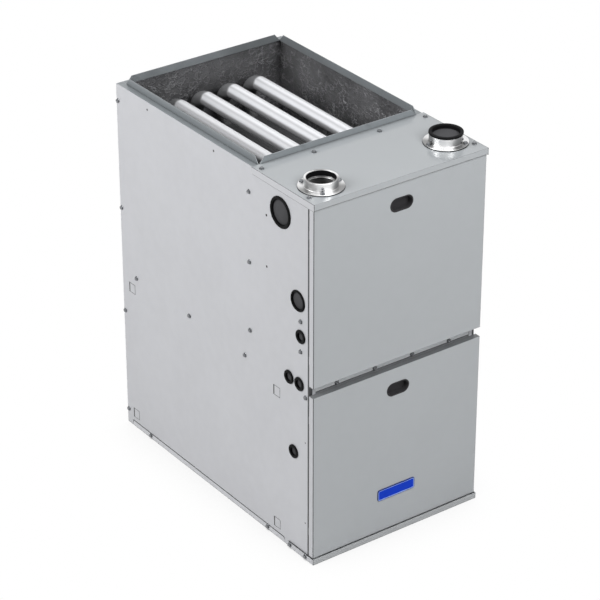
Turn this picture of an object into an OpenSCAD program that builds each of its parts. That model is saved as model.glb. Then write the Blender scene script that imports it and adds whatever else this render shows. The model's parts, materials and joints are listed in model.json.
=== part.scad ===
// Forced air gas furnace: an upright sheet metal casing with two pull-off doors, a blower
// below the deck and a tubular heat exchanger above it. Z is up, the doors face -Y, and
// the origin is at the middle of the footprint on the floor. Lengths are in millimetres.

/* [Casing] */
// Width across the two side panels
casing_w = 444.5; // [440:0.5:540]
// Depth from the rear panel to the front lip of the top cover
casing_d = 732.6; // [730:0.2:790]
// Height from the floor to the face of the top cover
casing_h = 864; // [860:1:1000]
// Thickness of the casing sheet
sheet_t = 1.2; // [0.9:0.1:1.5]
// Depth of the burner compartment, from the front lip to the vestibule panel
vestibule_d = 217.3; // [215:0.1:225]
// Height of the deck's screw row above the floor
deck_screw_z = 403.5; // [400:0.5:420]
// Width of the flat strip around the supply opening
top_strip_w = 17; // [15:0.5:22]
// Height of the duct flanges above the top cover
duct_flange_h = 15; // [10:0.5:25]
// Thickness of the foil-faced wall liners
liner_t = 11; // [8:0.5:14]

/* [Top cover and base] */
// Depth of the lip along the front of the top cover
cover_front_lip = 14; // [12:0.5:16]
// Depth of the lips along the sides of the top cover
cover_side_lip = 15.7; // [12:0.1:18]
// Space between a side panel and the lip or sill outside it
lip_gap = 1.25; // [1:0.05:1.6]
// Height of the base rails and of the front sill
rail_h = 13.8; // [12:0.1:16]
// Radius of the rounded corners on the rail and cover ends
rail_r = 8; // [4:0.5:9]

/* [Doors] */
// How far a door reaches past the side panel at each side
door_lap = 0.75; // [0:0.05:0.95]
// Depth of a door tray
door_depth = 14.7; // [12:0.1:15]
// Distance of the door faces behind the front lip
door_setback = 3.2; // [2.6:0.1:4]
// Height of the gap between the doors
door_gap = 23.5; // [20:0.5:26]
// Height of the upper edge of the lower door
lower_door_top = 413.5; // [412:0.5:420]
// Radius of the upright edges of a door
door_edge_r = 1.8; // [1.4:0.1:5]
// Width of a finger grip
grip_w = 59.5; // [50:0.5:80]
// Height of a finger grip
grip_h = 31.5; // [26:0.5:36]
// Depth of a finger grip's recess
grip_depth = 11; // [7:0.5:12]
// Width of the nameplate
plate_w = 100; // [80:1:140]
// Height of the nameplate
plate_h = 27; // [22:1:40]

/* [Pipe collars] */
// Outside radius of a collar's flange
collar_flange_r = 48.6; // [45:0.1:50]
// Outside radius of a collar's ring
collar_r = 35.9; // [34.5:0.1:37]
// Radius of the bore that takes a vent or intake pipe
pipe_bore_r = 31.4; // [31:0.05:32]
// Height of a collar's ring above the top cover
collar_h = 21; // [18:0.5:30]
// Outside radius of the pipe inside the furnace
pipe_r = 30.15; // [29:0.05:30.3]
// Distance of the intake collar from the middle of the furnace
intake_x = 162; // [158:0.5:164]
// Distance of the intake collar behind the front lip
intake_back = 61.3; // [58:0.1:70]
// Distance of the vent collar from the middle of the furnace
vent_x = 170.7; // [168:0.1:171]
// Distance of the vent collar behind the front lip
vent_back = 74.8; // [70:0.1:78]

/* [Heat exchanger] */
// Outside radius of an exchanger tube
tube_r = 16.7; // [15:0.1:18]
// Wall of an exchanger tube
tube_wall = 1; // [0.8:0.1:1.5]
// Distance between neighbouring tubes
tube_pitch = 71.2; // [68:0.1:74]
// Number of tubes
tube_count = 4; // [3:1:4]
// Distance of the top pass below the top cover
tube_drop = 60; // [56:0.5:64]
// Radius of the rear bends of the tubes
rear_bend_r = 48; // [44:0.5:52]
// Radius of the front bends of the tubes
front_bend_r = 40; // [38:0.5:42]
// Distance between the rear panel and the rear bends
bend_rear_gap = 17.6; // [16:0.1:30]
// Height of the condensing coil
coil_h = 88; // [70:1:95]

/* [Blower] */
// Width of the blower housing
blower_w = 230; // [200:1:240]
// Radius of the blower wheel
blower_wheel_r = 115; // [105:0.5:118]
// Radius of the housing at its narrowest point
scroll_r0 = 128; // [125:0.5:132]
// Radius of the housing at its outlet
scroll_r1 = 175; // [165:0.5:180]
// Number of blades on the blower wheel
blade_count = 32; // [20:1:40]
// Radius of the blower motor
motor_r = 62; // [55:0.5:66]

/* [Gas train and inducer] */
// Outside radius of the gas manifold
manifold_r = 10.7; // [9:0.1:12]
// Radius of the gas valve's inlet thread
gas_inlet_r = 10.3; // [8:0.1:11]
// Radius of the inducer housing
inducer_r = 74; // [70:0.5:75]
// Depth of the inducer housing
inducer_d = 68; // [67:0.5:72]

/* [Side fittings] */
// Outside radius of the upper hole plug
plug_1_r = 35; // [32:0.5:38]
// Outside radius of the lower hole plug
plug_2_r = 24; // [21:0.5:26]
// Outside radius of a wire grommet
grommet_r = 15.5; // [14.5:0.1:16]
// Radius of the hole through a wire grommet
grommet_bore_r = 9.5; // [7:0.1:10]
// Length of the side return cut-out, between the outer edges of its corner marks
cutout_l = 584.6; // [560:0.5:590]
// Height of the side return cut-out, between the outer edges of its corner marks
cutout_h = 357; // [340:0.5:360]
// Side of a square corner mark
mark_w = 24; // [18:0.5:26]

/* [Hidden] */
$fn = 64;

// Overrun of a cut past the face that it opens
over = 1;
// Space left between pieces that pass each other at rest
clear = 0.3;
// Radial clearance of a shaft, pin or plunger in its bore
run_fit = 0.05;
// Space around a tube or fastener in a sheet metal hole
hole_fit = 0.2;

// Colours
panel_colour = [0.79, 0.80, 0.82];
door_colour = [0.66, 0.68, 0.69];
cover_colour = [0.71, 0.73, 0.74];
steel_colour = [0.62, 0.64, 0.66];
bright_colour = [0.86, 0.87, 0.88];
foil_colour = [0.34, 0.34, 0.36];
black_colour = [0.11, 0.11, 0.12];
dark_colour = [0.28, 0.29, 0.30];
blue_colour = [0.11, 0.26, 0.78];
brass_colour = [0.75, 0.60, 0.28];
red_colour = [0.75, 0.12, 0.10];
board_colour = [0.12, 0.38, 0.22];
white_colour = [0.88, 0.88, 0.86];

// Planes of the casing
front_y = -casing_d / 2;
rear_y = casing_d / 2;
wall_x = casing_w / 2;
in_x = wall_x - sheet_t;
lid_x = wall_x + lip_gap + sheet_t;
top_z = casing_h - sheet_t;
strip_z = top_z - sheet_t;
flange_x = wall_x - top_strip_w;
duct_top_z = casing_h + duct_flange_h;
duct_rear_y = rear_y - top_strip_w;
vest_y = front_y + vestibule_d;
vest_back_y = vest_y + sheet_t;

// Planes of the doors and of the front of the casing
post_gap = 2.9;
door_y = front_y + door_setback;
door_in_y = door_y + sheet_t;
door_w = casing_w + 2 * door_lap;
door_back_y = door_y + door_depth;
post_y = door_back_y + post_gap;
post_back_y = post_y + sheet_t;
corner_r = 4;
post_w = top_strip_w;
post_x = wall_x - post_w;
hem_w = 8;
door_floor_gap = 1.2;
door_lid_gap = 1.7;
lower_door_z = rail_h + door_floor_gap;
upper_door_z = lower_door_top + door_gap;
upper_door_top = casing_h - cover_front_lip - door_lid_gap;

// Deck and mid rail
deck_rise = 6.5;
deck_lip = 13;
deck_top_z = deck_screw_z + deck_rise;
deck_low_z = deck_top_z - sheet_t;
rail_below = 13.5;
rail_above = 22.5;
mid_rail_z = lower_door_top - rail_below;
mid_rail_top = lower_door_top + rail_above;
mid_rail_d = 20;
mid_rail_screw_rise = 7.5;
mid_rail_screw_x = 50;
seal_h = 7;
seal_t = 2.4;
seal_ribs = 3;

// Sheet metal screws: a hex head on a washer, and a plain shank
screw_r = 2.1;
screw_len = 8;
screw_washer_r = 5.4;
screw_washer_h = 0.9;
screw_hex_r = 4.5;
screw_hex_h = 3;

// Laps and rims of the casing sheets
duct_cut_share = 0.8;
rear_lap = 14;
vest_lap = 21;
vest_top_lap = 30;
base_rim_w = 28;
base_rim_h = 22;
rail_foot = 20;
sill_lap = 10;

// Grips, nameplate and clips on the doors
grip_drop = 63.3;
grip_low_drop = 50.5;
upper_grip_z = casing_h - grip_drop;
lower_grip_z = lower_door_top - grip_low_drop;
grip_rim = 2;
grip_proud = 0.9;
grip_wall = 1.5;
plate_rise = 107.5;
plate_z = plate_rise;
plate_t = 2;
plate_r = 5;
plate_border = 1.6;
plate_field = 0.5;
clip_w = door_w / 2 - sheet_t - clear - post_x - hem_w;
clip_t = 0.8;
clip_h = 18;
clip_short = 3;
clip_in = 60;
clip_zs = [
  lower_door_z + clip_in, lower_door_top - clip_in,
  upper_door_z + clip_in, upper_door_top - clip_in
];

// Plugs and grommets
plug_lip = 3.5;
plug_bevel = 1.2;
plug_proud = 3.5;
plug_hub = 7;
plug_recess = 5;
plug_recess_share = 0.77;
grommet_lip = 3;
grommet_bevel = 1;
grommet_proud = 3;
grommet_inner = 2.5;

// Places of the screws in a side wall, as [y, z]
rear_screw_in = 5.8;
rear_screw_low = 36.9;
rear_screw_drop = 39.5;
rear_screw_gaps = 3;
rear_screw_step = (top_z - rear_screw_drop - rear_screw_low) / rear_screw_gaps;
deck_screw_rear = 57.6;
deck_screw_step = 212.4;
deck_screw_front = 9.7;
vest_screw_in = 12;
vest_screw_drop = 60.8;
vest_screw_rise = 64;
vest_screw_gaps = 2;
vest_screw_low = deck_top_z + vest_screw_rise;
vest_screw_step = (top_z - vest_screw_drop - vest_screw_low) / vest_screw_gaps;
jbox_in = 27.2;
jbox_drop = 322.4;
jbox_y = post_y + jbox_in;
jbox_z = casing_h - jbox_drop;
jbox_screw_half = 35.7;
side_screw_places = concat(
  [for (i = [0 : rear_screw_gaps]) [rear_y - rear_screw_in, rear_screw_low + i * rear_screw_step]],
  [for (i = [0 : 2]) [rear_y - deck_screw_rear - i * deck_screw_step, deck_screw_z]],
  [[post_y + deck_screw_front, deck_screw_z]],
  [for (i = [0 : vest_screw_gaps]) [vest_y + vest_screw_in, vest_screw_low + i * vest_screw_step]],
  [for (side = [-1, 1]) [jbox_y, jbox_z + side * jbox_screw_half]]
);

// Base rails, sill and their screws
base_screw_z = 8;
rail_seam = 1;
rail_rear_in = 21.3;
rail_front_in = 108.3;
rail_front_y = front_y + rail_front_in;
sill_gap = 13;
sill_back_y = rail_front_y - sill_gap;
rail_screw_front = 61.9;
rail_screw_rear = 76.3;
sill_screw_end = 11.1;
sill_screw_front = 28.6;
rail_rear_y = rear_y - rail_rear_in;
rail_screw_ys = [rail_front_y + rail_screw_front, rail_rear_y - rail_screw_rear];
sill_screw_ys = [front_y + sill_screw_front, sill_back_y - sill_screw_end];

// Screws of the top cover, as [x, y]
cover_screw_in = 11.7;
cover_screw_rear = 20.7;
cover_screw_front = 32.5;
cover_screw_left = 80;
cover_screw_right = 90.5;
cover_screw_places = [
  [-lid_x + cover_screw_in, vest_y - cover_screw_rear],
  [-cover_screw_left, vest_y - cover_screw_rear],
  [cover_screw_right, vest_y - cover_screw_rear],
  [lid_x - cover_screw_in, vest_y - cover_screw_rear],
  [-lid_x + cover_screw_in, front_y + cover_screw_front],
  [lid_x - cover_screw_in, front_y + cover_screw_front]
];

// Plugs, grommets and small holes in a side wall, as [y, z]
plug_1_in = 96.8;
plug_1_drop = 64.2;
plug_1_place = [post_y + plug_1_in, casing_h - plug_1_drop];
plug_2_in = 36.8;
plug_2_drop = 242.5;
plug_2_place = [post_y + plug_2_in, casing_h - plug_2_drop];
plugs = [[plug_1_r, plug_1_place], [plug_2_r, plug_2_place]];
grommet_rise = 16.6;
grommet_near_in = 31.9;
grommet_far_in = 68.4;
control_grommet_in = 52.2;
control_grommet_drop = 152;
grommet_places = [
  [jbox_y, jbox_z],
  [post_y + grommet_near_in, deck_top_z + grommet_rise],
  [post_y + grommet_far_in, deck_top_z + grommet_rise],
  [post_y + control_grommet_in, deck_screw_z - control_grommet_drop]
];
dot_r = 1.3;
dot_back = 49.6;
dot_high_drop = 91.2;
dot_low_drop = 210.4;
dot_top_drop = 19;
dot_rear_in = 123;
dot_mid_shift = 9.5;
dot_front_in = 11.5;
dot_front_high = 291.9;
dot_front_low = 90.4;
dot_places = [
  [vest_y - dot_back, casing_h - dot_high_drop],
  [vest_y - dot_back, casing_h - dot_low_drop],
  [rear_y - dot_rear_in, casing_h - dot_top_drop],
  [-dot_mid_shift, casing_h - dot_top_drop],
  [post_y + dot_front_in, dot_front_high],
  [post_y + dot_front_in, dot_front_low]
];
cutout_y = 48.7;
cutout_z = 203;
mark_line = 1.1;
mark_deep = 0.8;

// Collars
gasket_t = 1;
flange_t = 2;
ledge_drop = 14;
ledge_t = 2;
skirt_t = 1.6;
skirt_drop = 14;
intake_y = front_y + intake_back;
vent_y = front_y + vent_back;
skirt_bore_r = pipe_r + clear;
skirt_r = skirt_bore_r + skirt_t;
lid_hole_r = skirt_r + clear;
flange_z = casing_h + gasket_t;
collar_top_z = casing_h + collar_h;
ledge_top_z = collar_top_z - ledge_drop;
ledge_lap = 3;
ledge_bore_r = pipe_r - ledge_lap;
flange_screw_r = (collar_flange_r + collar_r) / 2;
collars = [
  [-intake_x, intake_y, [123, -6, -122]],
  [vent_x, vent_y, [173, -54, 60]]
];
set_screw_r = 2.4;
set_screw_len = 2.2;
set_screw_z = (flange_z + flange_t + collar_top_z) / 2;

// Vent cap
cap_overhang = 1.1;
cap_rim_r = collar_r + cap_overhang;
cap_rim_h = 5;
cap_plug_r = pipe_bore_r - clear;
cap_plug_len = 11;
cap_recess_share = 0.76;
cap_recess_h = 4;
cap_edge = 1.2;

// Heat exchanger
tube_z = casing_h - tube_drop;
pass_2_z = tube_z - 2 * rear_bend_r;
pass_3_z = pass_2_z - 2 * front_bend_r;
bend_rear_y = rear_y - bend_rear_gap - tube_r - rear_bend_r;
bend_front_gap = 25;
bend_front_y = vest_back_y + bend_front_gap + tube_r + front_bend_r;
tube_xs = [for (i = [0 : tube_count - 1]) (i - (tube_count - 1) / 2) * tube_pitch];
tube_poke = 3;
collector_d = 50;
collector_rise = 28;
collector_margin = 8;
coil_gap = 12;
coil_w = 240;
coil_top_z = pass_3_z - tube_r - coil_gap;
coil_z = coil_top_z - coil_h;
collector_back = 28.7;
coil_rear_y = bend_rear_y - collector_back;
coil_tube_r = 8;
coil_tube_wall = 1;
coil_columns = 6;
coil_rows = 2;
coil_fins = 10;
fin_t = 0.8;
sheet_plate_t = 2;
coil_margin = 6;
collector_w = (tube_count - 1) * tube_pitch + 2 * (tube_r + collector_margin);
collector_top_z = pass_3_z + collector_rise;
spacer_d = 1.5;
spacer_y = (bend_front_y + bend_rear_y) / 2;
bracket_t = 1.5;
bracket_foot = 14;
bracket_in = 40;
header_d = 50;
header_left = 130;
header_right = 150;
header_rim = 4;
coil_open_in = 5;

// Burners and gas train
box_w = 268;
box_d = 116;
box_below = 38;
box_above = 36;
burner_bell_r = 17;
burner_throat_r = 9;
burner_out_r = 14;
burner_wall = 1.2;
burner_len = 90;
burner_gap = 10;
burner_bell_share = 0.35;
burner_foot_w = 16;
burner_foot_d = 8;
box_front_y = vest_y - box_d;
box_z = tube_z - box_below;
box_top_z = tube_z + box_above;
orifice_hole_r = 12;
manifold_gap = 35;
manifold_y = box_front_y - manifold_gap;
manifold_half = 125;
manifold_wall = 2.2;
manifold_bore_r = manifold_r - manifold_wall;
boss_r = 8;
boss_len = 4;
orifice_hex_r = 7;
orifice_hex_len = 7;
orifice_tip_r = 4;
orifice_jet_r = 1;
manifold_tab_x = 118;
manifold_tab_w = 5;
manifold_tab_h = 12;
riser_x = tube_pitch;
riser_r = 8.5;
valve_w = 90;
valve_d = 52;
valve_h = 66;
valve_y = plug_2_place[0];
valve_z = plug_2_place[1];
valve_front_y = valve_y - valve_d / 2;
inlet_boss_wall = 4;
inlet_boss_r = gas_inlet_r + inlet_boss_wall;
inlet_boss_len = 14;
inlet_depth = 20;
valve_cap_r = 20;
valve_cap_h = 6;
knob_r = 12;
knob_h = 9;
knob_stem_r = 3;
knob_stem_len = 8;
knob_aside = 22;
knob_rise = 14;
knob_x = riser_x - knob_aside;
knob_z = valve_z + knob_rise;
knob_bar_w = 5;
knob_bar_h = 4;
probe_r = 3;
probe_in = 10;
probe_block = 18;
probe_block_w = 14;
probe_out = 30;
probe_below = 12;
probe_y = vest_y - probe_out;
probe_z = tube_z - probe_below;
rollout_r = 11;
rollout_h = 8;
rollout_out = 60;
rollout_y = vest_y - rollout_out;
button_r = 3;
button_out = 2.5;
button_in = 5;
button_travel = 1.5;

// Inducer
inducer_x = 112;
inducer_z = coil_z + coil_h / 2;
inducer_rear_y = vest_y - header_d;
inducer_front_y = inducer_rear_y - inducer_d;
inducer_mid_y = (inducer_rear_y + inducer_front_y) / 2;
inducer_wall = 3;
inducer_inlet_r = 30;
socket_r = pipe_r + clear;
socket_wall = 3;
socket_top_rise = 84;
socket_depth = 30;
shaft_hole_r = 6;
inducer_wheel_r = 58;
inducer_disc_t = 2;
inducer_blades = 8;
inducer_blade_t = 1.6;
inducer_blade_d = 30;
inducer_hub_r = 12;
inducer_shaft_r = 4;
inducer_shaft_in = 20;
inducer_motor_r = 40;
inducer_motor_len = 58;
inducer_fan_r = 30;
inducer_fan_len = 8;
pipe_wall = 3.9;
pipe_low_z = inducer_z + socket_top_rise - socket_depth;
jog_rise = 30;
jog_h = 78;
pipe_jog_z = inducer_z + socket_top_rise + jog_rise;
pipe_jog_top = pipe_jog_z + jog_h;
switch_disc_r = 28;
switch_disc_h = 22;
switch_x = 150;
switch_rise = 100;
switch_z = coil_top_z + switch_rise;
switch_port_r = 3;
switch_port_len = 10;
switch_tab_w = 20;
switch_tab_h = 75;
trap_x = 90;
trap_w = 60;
trap_d = 46;
trap_port_r = 8;
trap_port_len = 15;
trap_y = vest_y - header_d / 2;
header_z = coil_z - header_rim;
trap_barb_r = 7;
trap_barb_len = 18;
trap_barb_drop = 14;

// Blower
blower_y = 75;
hang_drop = 2.8;
blower_top_z = deck_low_z - hang_drop;
outlet_rise = 184;
blower_z = blower_top_z - outlet_rise;
tongue_turn = 70;
scroll_steps = 48;
housing_t = 1.2;
inlet_r = 95;
bell_len = 9;
tongue_y = scroll_r0 * cos(tongue_turn);
rail_y0 = blower_y - scroll_r0;
rail_y1 = blower_y + scroll_r1;
lip_w = 12;
hang_lip_w = 9;
hang_t = 1.2;
wheel_end_gap = 14;
wheel_ring_w = 22;
wheel_ring_t = 2;
blade_t = 1.2;
blade_tilt = 25;
wheel_hub_r = 15;
wheel_hub_l = 22;
blower_shaft_r = 6.35;
motor_l = 106;
motor_gap = 12;
shaft_in = 40;
band_t = 1.6;
band_w = 22;
arm_count = 3;
arm_w = 14;
arm_t = 3;
arm_lap = 12;

// Controls
control_in = 54;
control_y = post_y + control_in;
control_left = 60;
control_right = 170;
control_h = 148;
control_lip = 22;
board_l = 160;
board_h = 120;
board_t = 1.6;
board_off = 5;
standoff_r = 3;
board_edge = 6;
relay_l = 24;
relay_h = 20;
relay_d = 18;
relay_step = 32;
plug_l = 44;
plug_h = 12;
plug_d = 12;
fuse_r = 5;
fuse_h = 10;
trans_w = 50;
trans_h = 60;
trans_d = 44;
trans_core_share = 0.45;
trans_foot = 8;
trans_foot_t = 2;
door_switch_x = 150;
door_switch_w = 30;
door_switch_h = 25;
door_switch_d = 34;
door_switch_drop = 12;
door_switch_back = 2;
door_switch_z = deck_top_z - deck_lip - door_switch_drop - door_switch_h / 2;
plunger_r = 4;
plunger_out = 9;
plunger_in = 18;
plunger_travel = 4;
door_pad_w = 16;
door_pad_h = 15;
jbox_h = 58;
jbox_w = 48;
jbox_d = 45;
jbox_tab = 13;

// A block between two opposite corners
module slab(a, b) {
  translate(a)
    cube(b - a);
}

// The children and their mirror image on the other side of the furnace
module both_sides() {
  children();
  mirror([1, 0, 0])
    children();
}

// A round bar along X from x0 to x1
module rod_x(r, x0, x1, y, z) {
  translate([x0, y, z])
    rotate([0, 90, 0])
      cylinder(r = r, h = x1 - x0);
}

// A round bar along Y from y0 to y1
module rod_y(r, y0, y1, x, z) {
  translate([x, y1, z])
    rotate([90, 0, 0])
      cylinder(r = r, h = y1 - y0);
}

// A round bar along Z from z0 to z1
module rod_z(r, z0, z1, x, y) {
  translate([x, y, z0])
    cylinder(r = r, h = z1 - z0);
}

// A flat shape drawn in Y and Z, from x0 to x1
module in_yz(x0, x1) {
  translate([x0, 0, 0])
    rotate([90, 0, 90])
      linear_extrude(x1 - x0)
        children();
}

// A flat shape drawn in X and Z, from y0 to y1
module in_xz(y0, y1) {
  translate([0, y1, 0])
    rotate([90, 0, 0])
      linear_extrude(y1 - y0)
        children();
}

// What is cut off to round a corner: the far bottom corner of the square that ends at w
module corner_cut(w, r) {
  translate([w - r, 0])
    difference() {
      translate([0, -over])
        square([r + over, r + over]);
      translate([0, r])
        circle(r);
    }
}

// A flat rectangle whose bottom far corner is rounded
module corner_plate(w, h, r) {
  difference() {
    square([w, h]);
    corner_cut(w, r);
  }
}

// A flat oval with round ends, about its middle
module oval(w, h) {
  square([w - h, h], center = true);
  for (side = [-1, 1])
    translate([side * (w - h) / 2, 0])
      circle(h / 2);
}

// A flat rectangle with four round corners, about its middle
module round_plate(w, h, r) {
  square([w - 2 * r, h], center = true);
  square([w, h - 2 * r], center = true);
  for (sx = [-1, 1])
    for (sz = [-1, 1])
      translate([sx * (w / 2 - r), sz * (h / 2 - r)])
        circle(r);
}

// A sheet metal screw: its head rises along Z from the surface at zero
module sheet_screw() {
  cylinder(r = screw_washer_r, h = screw_washer_h);
  cylinder(r = screw_hex_r, h = screw_washer_h + screw_hex_h, $fn = 6);
  translate([0, 0, -screw_len])
    cylinder(r = screw_r, h = screw_len + screw_washer_h / 2);
}

// The hole that a sheet metal screw goes through
module screw_bore() {
  translate([0, 0, -screw_len - over])
    cylinder(r = screw_r + hole_fit, h = screw_len + 2 * over);
}

// The children at each screw of the left wall, base rail and sill, pointing out
module at_left_screws() {
  for (place = side_screw_places)
    translate([-wall_x, place[0], place[1]])
      rotate([0, -90, 0])
        children();
  for (y = rail_screw_ys)
    translate([-wall_x, y, base_screw_z])
      rotate([0, -90, 0])
        children();
  for (y = sill_screw_ys)
    translate([-lid_x, y, base_screw_z])
      rotate([0, -90, 0])
        children();
}

// The holes of all screws in both side walls, base rails and sill ends
module wall_screw_bores() {
  both_sides()
    at_left_screws()
      screw_bore();
}

// The children at each screw of the top cover, pointing up
module at_cover_screws() {
  for (place = cover_screw_places)
    translate([place[0], place[1], casing_h])
      children();
}

// The children at each screw of the mid rail, pointing forward
module at_mid_rail_screws() {
  for (turn = [-3, -1, 1, 3])
    translate([turn * mid_rail_screw_x, post_y, lower_door_top + mid_rail_screw_rise])
      rotate([90, 0, 0])
        children();
}

// A scored square on the outside of the left wall
module knockout_mark(y, z) {
  difference() {
    slab([-wall_x - over, y, z], [-wall_x + mark_deep, y + mark_w, z + mark_w]);
    slab(
      [-wall_x - 2 * over, y + mark_line, z + mark_line],
      [-wall_x + 2 * over, y + mark_w - mark_line, z + mark_w - mark_line]
    );
  }
}

// Everything that is cut out of the left wall
module left_wall_cuts() {
  at_left_screws()
    screw_bore();
  for (place = dot_places)
    rod_x(dot_r, -wall_x - over, -in_x + over, place[0], place[1]);
  for (plug = plugs)
    rod_x(plug[0] - plug_lip, -wall_x - over, -in_x + over, plug[1][0], plug[1][1]);
  for (place = grommet_places)
    rod_x(grommet_r - grommet_lip, -wall_x - over, -in_x + over, place[0], place[1]);
  for (y = [cutout_y - cutout_l / 2, cutout_y + cutout_l / 2 - mark_w])
    for (z = [cutout_z - cutout_h / 2, cutout_z + cutout_h / 2 - mark_w])
      knockout_mark(y, z);
}

// A side panel, drawn for the left: wall, rounded front post, top strip and duct flange
module side_panel() {
  difference() {
    union() {
      slab([-wall_x, post_y + corner_r, 0], [-in_x, rear_y, top_z]);
      translate([0, 0, 2 * sheet_t])
        linear_extrude(top_z - 2 * sheet_t)
          post_outline();
      slab([-post_x - hem_w, post_y - sheet_t, lower_door_z], [-post_x, post_y, top_z - sheet_t]);
      translate([0, 0, strip_z])
        linear_extrude(sheet_t)
          polygon([
            [-wall_x, post_y + corner_r],
            [-flange_x, post_y + corner_r],
            [-flange_x, duct_rear_y],
            [-wall_x, rear_y]
          ]);
      in_yz(-flange_x - sheet_t, -flange_x)
        duct_flange_outline(vest_y + clear, duct_rear_y - clear);
    }
    slab([-wall_x - over, rail_front_y, -over], [-in_x + over, rail_rear_y, rail_h]);
    left_wall_cuts();
    at_cover_screws()
      screw_bore();
  }
}

// Plan of the rounded front corner and post of the left side panel
module post_outline() {
  translate([-wall_x + corner_r, post_y + corner_r])
    difference() {
      circle(corner_r);
      circle(corner_r - sheet_t);
      translate([0, -corner_r - over])
        square([corner_r + over, 2 * corner_r + 2 * over]);
      translate([-corner_r - over, 0])
        square([corner_r + 2 * over, corner_r + over]);
    }
  translate([-wall_x + corner_r, post_y])
    square([post_w - corner_r, sheet_t]);
}

// Side view of a duct flange between two ends, which are cut at 45 degrees
module duct_flange_outline(a, b) {
  rise = duct_top_z - top_z;
  polygon([
    [a, strip_z],
    [b, strip_z],
    [b, top_z],
    [b - rise * duct_cut_share, duct_top_z],
    [a + rise * duct_cut_share, duct_top_z],
    [a, top_z]
  ]);
}

module left_side_panel() {
  color(panel_colour)
    side_panel();
}

module right_side_panel() {
  color(panel_colour)
    mirror([1, 0, 0])
      side_panel();
}

// Back panel with side laps, top strip and duct flange
module back_panel() {
  color(panel_colour)
    difference() {
      union() {
        slab([-in_x, rear_y - sheet_t, 0], [in_x, rear_y, top_z]);
        both_sides()
          slab([-in_x, rear_y - rear_lap, 0], [-in_x + sheet_t, rear_y, strip_z]);
        translate([0, 0, strip_z])
          linear_extrude(sheet_t)
            polygon([
              [-in_x, rear_y],
              [-in_x, rear_y - sheet_t + clear],
              [-flange_x + clear, duct_rear_y],
              [flange_x - clear, duct_rear_y],
              [in_x, rear_y - sheet_t + clear],
              [in_x, rear_y]
            ]);
        in_xz(duct_rear_y, duct_rear_y + sheet_t)
          duct_flange_outline(-flange_x + clear, flange_x - clear);
      }
      wall_screw_bores();
    }
}

// Top cover over the burner compartment, with its lips and the front duct flange
module top_cover() {
  color(cover_colour)
    difference() {
      union() {
        slab([-lid_x, front_y, top_z], [lid_x, vest_y, casing_h]);
        slab([-lid_x, front_y, casing_h - cover_front_lip], [lid_x, front_y + sheet_t, casing_h]);
        both_sides()
          translate([0, front_y, casing_h - cover_side_lip])
            in_yz(-lid_x, -lid_x + sheet_t)
              corner_plate(vestibule_d, cover_side_lip, rail_r);
        in_xz(vest_y - sheet_t, vest_y)
          intersection() {
            duct_flange_outline(-flange_x + clear, flange_x - clear);
            translate([-flange_x, top_z])
              square([2 * flange_x, duct_top_z - top_z]);
          }
      }
      at_cover_screws()
        screw_bore();
      for (collar = collars) {
        rod_z(lid_hole_r, top_z - over, casing_h + over, collar[0], collar[1]);
        at_flange_screws(collar)
          screw_bore();
      }
    }
}

// Base frame: the inner rim of the return air opening
module base_frame() {
  color(steel_colour)
    difference() {
      union() {
        difference() {
          slab([-in_x, post_back_y, sheet_t], [in_x, rear_y - sheet_t, 2 * sheet_t]);
          slab(
            [-in_x + base_rim_w, post_back_y + base_rim_w, -over],
            [in_x - base_rim_w, rear_y - base_rim_w, rail_h]
          );
          both_sides()
            slab([-in_x - over, rear_y - rear_lap - clear, -over], [-in_x + sheet_t, rear_y, rail_h]);
        }
        both_sides()
          slab(
            [-in_x, post_y + corner_r, sheet_t],
            [-in_x + sheet_t, rear_y - rear_lap - clear, base_rim_h]
          );
      }
      wall_screw_bores();
    }
}

// Base rails in the notches of the side panels
module base_side_rails() {
  color(panel_colour)
    difference() {
      both_sides() {
        translate([0, rail_rear_y - clear, 0])
          mirror([0, 1, 0])
            in_yz(-wall_x, -in_x)
              rail_outline(rail_rear_y - rail_front_y - 2 * clear, rail_h - rail_seam, rail_r);
        slab([-wall_x, rail_front_y + clear, 0], [-in_x + rail_foot, rail_rear_y - clear, sheet_t]);
      }
      wall_screw_bores();
    }
}

// Side view of a base rail with both upper corners rounded
module rail_outline(w, h, r) {
  translate([0, h])
    mirror([0, 1])
      difference() {
        square([w, h]);
        corner_cut(w, r);
        translate([w, 0])
          mirror([1, 0])
            corner_cut(w, r);
      }
}

// Front sill, which wraps the front corners under the lower door
module front_sill() {
  color(panel_colour)
    difference() {
      union() {
        slab([-lid_x, front_y, 0], [lid_x, front_y + sheet_t, rail_h]);
        both_sides()
          translate([0, front_y, 0])
            in_yz(-lid_x, -lid_x + sheet_t)
              translate([0, rail_h])
                mirror([0, 1])
                  corner_plate(sill_back_y - front_y, rail_h, rail_r);
        slab([-lid_x, front_y, 0], [lid_x, post_y, sheet_t]);
        slab([-in_x, front_y, 0], [in_x, post_back_y + sill_lap, sheet_t]);
      }
      wall_screw_bores();
    }
}

// Mid rail between the doors
module mid_rail() {
  half = post_x - clear;
  color(steel_colour)
    difference() {
      union() {
        slab([-half, post_y, mid_rail_z], [half, post_back_y, mid_rail_top]);
        slab([-half, post_y, mid_rail_top - sheet_t], [half, post_y + mid_rail_d, mid_rail_top]);
        slab([-half, post_y, mid_rail_z], [half, post_y + mid_rail_d, mid_rail_z + sheet_t]);
      }
      at_mid_rail_screws()
        screw_bore();
    }
}

// Ribbed seal strip on the upper part of the mid rail
module mid_rail_seal() {
  half = post_x - clear;
  base_z = mid_rail_top - seal_h;
  rib_h = seal_h / (2 * seal_ribs - 1);
  color(dark_colour) {
    slab([-half, post_y - seal_t / 2, base_z], [half, post_y, mid_rail_top]);
    for (i = [0 : seal_ribs - 1])
      slab(
        [-half, post_y - seal_t, base_z + 2 * i * rib_h],
        [half, post_y, base_z + (2 * i + 1) * rib_h]
      );
  }
}

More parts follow.
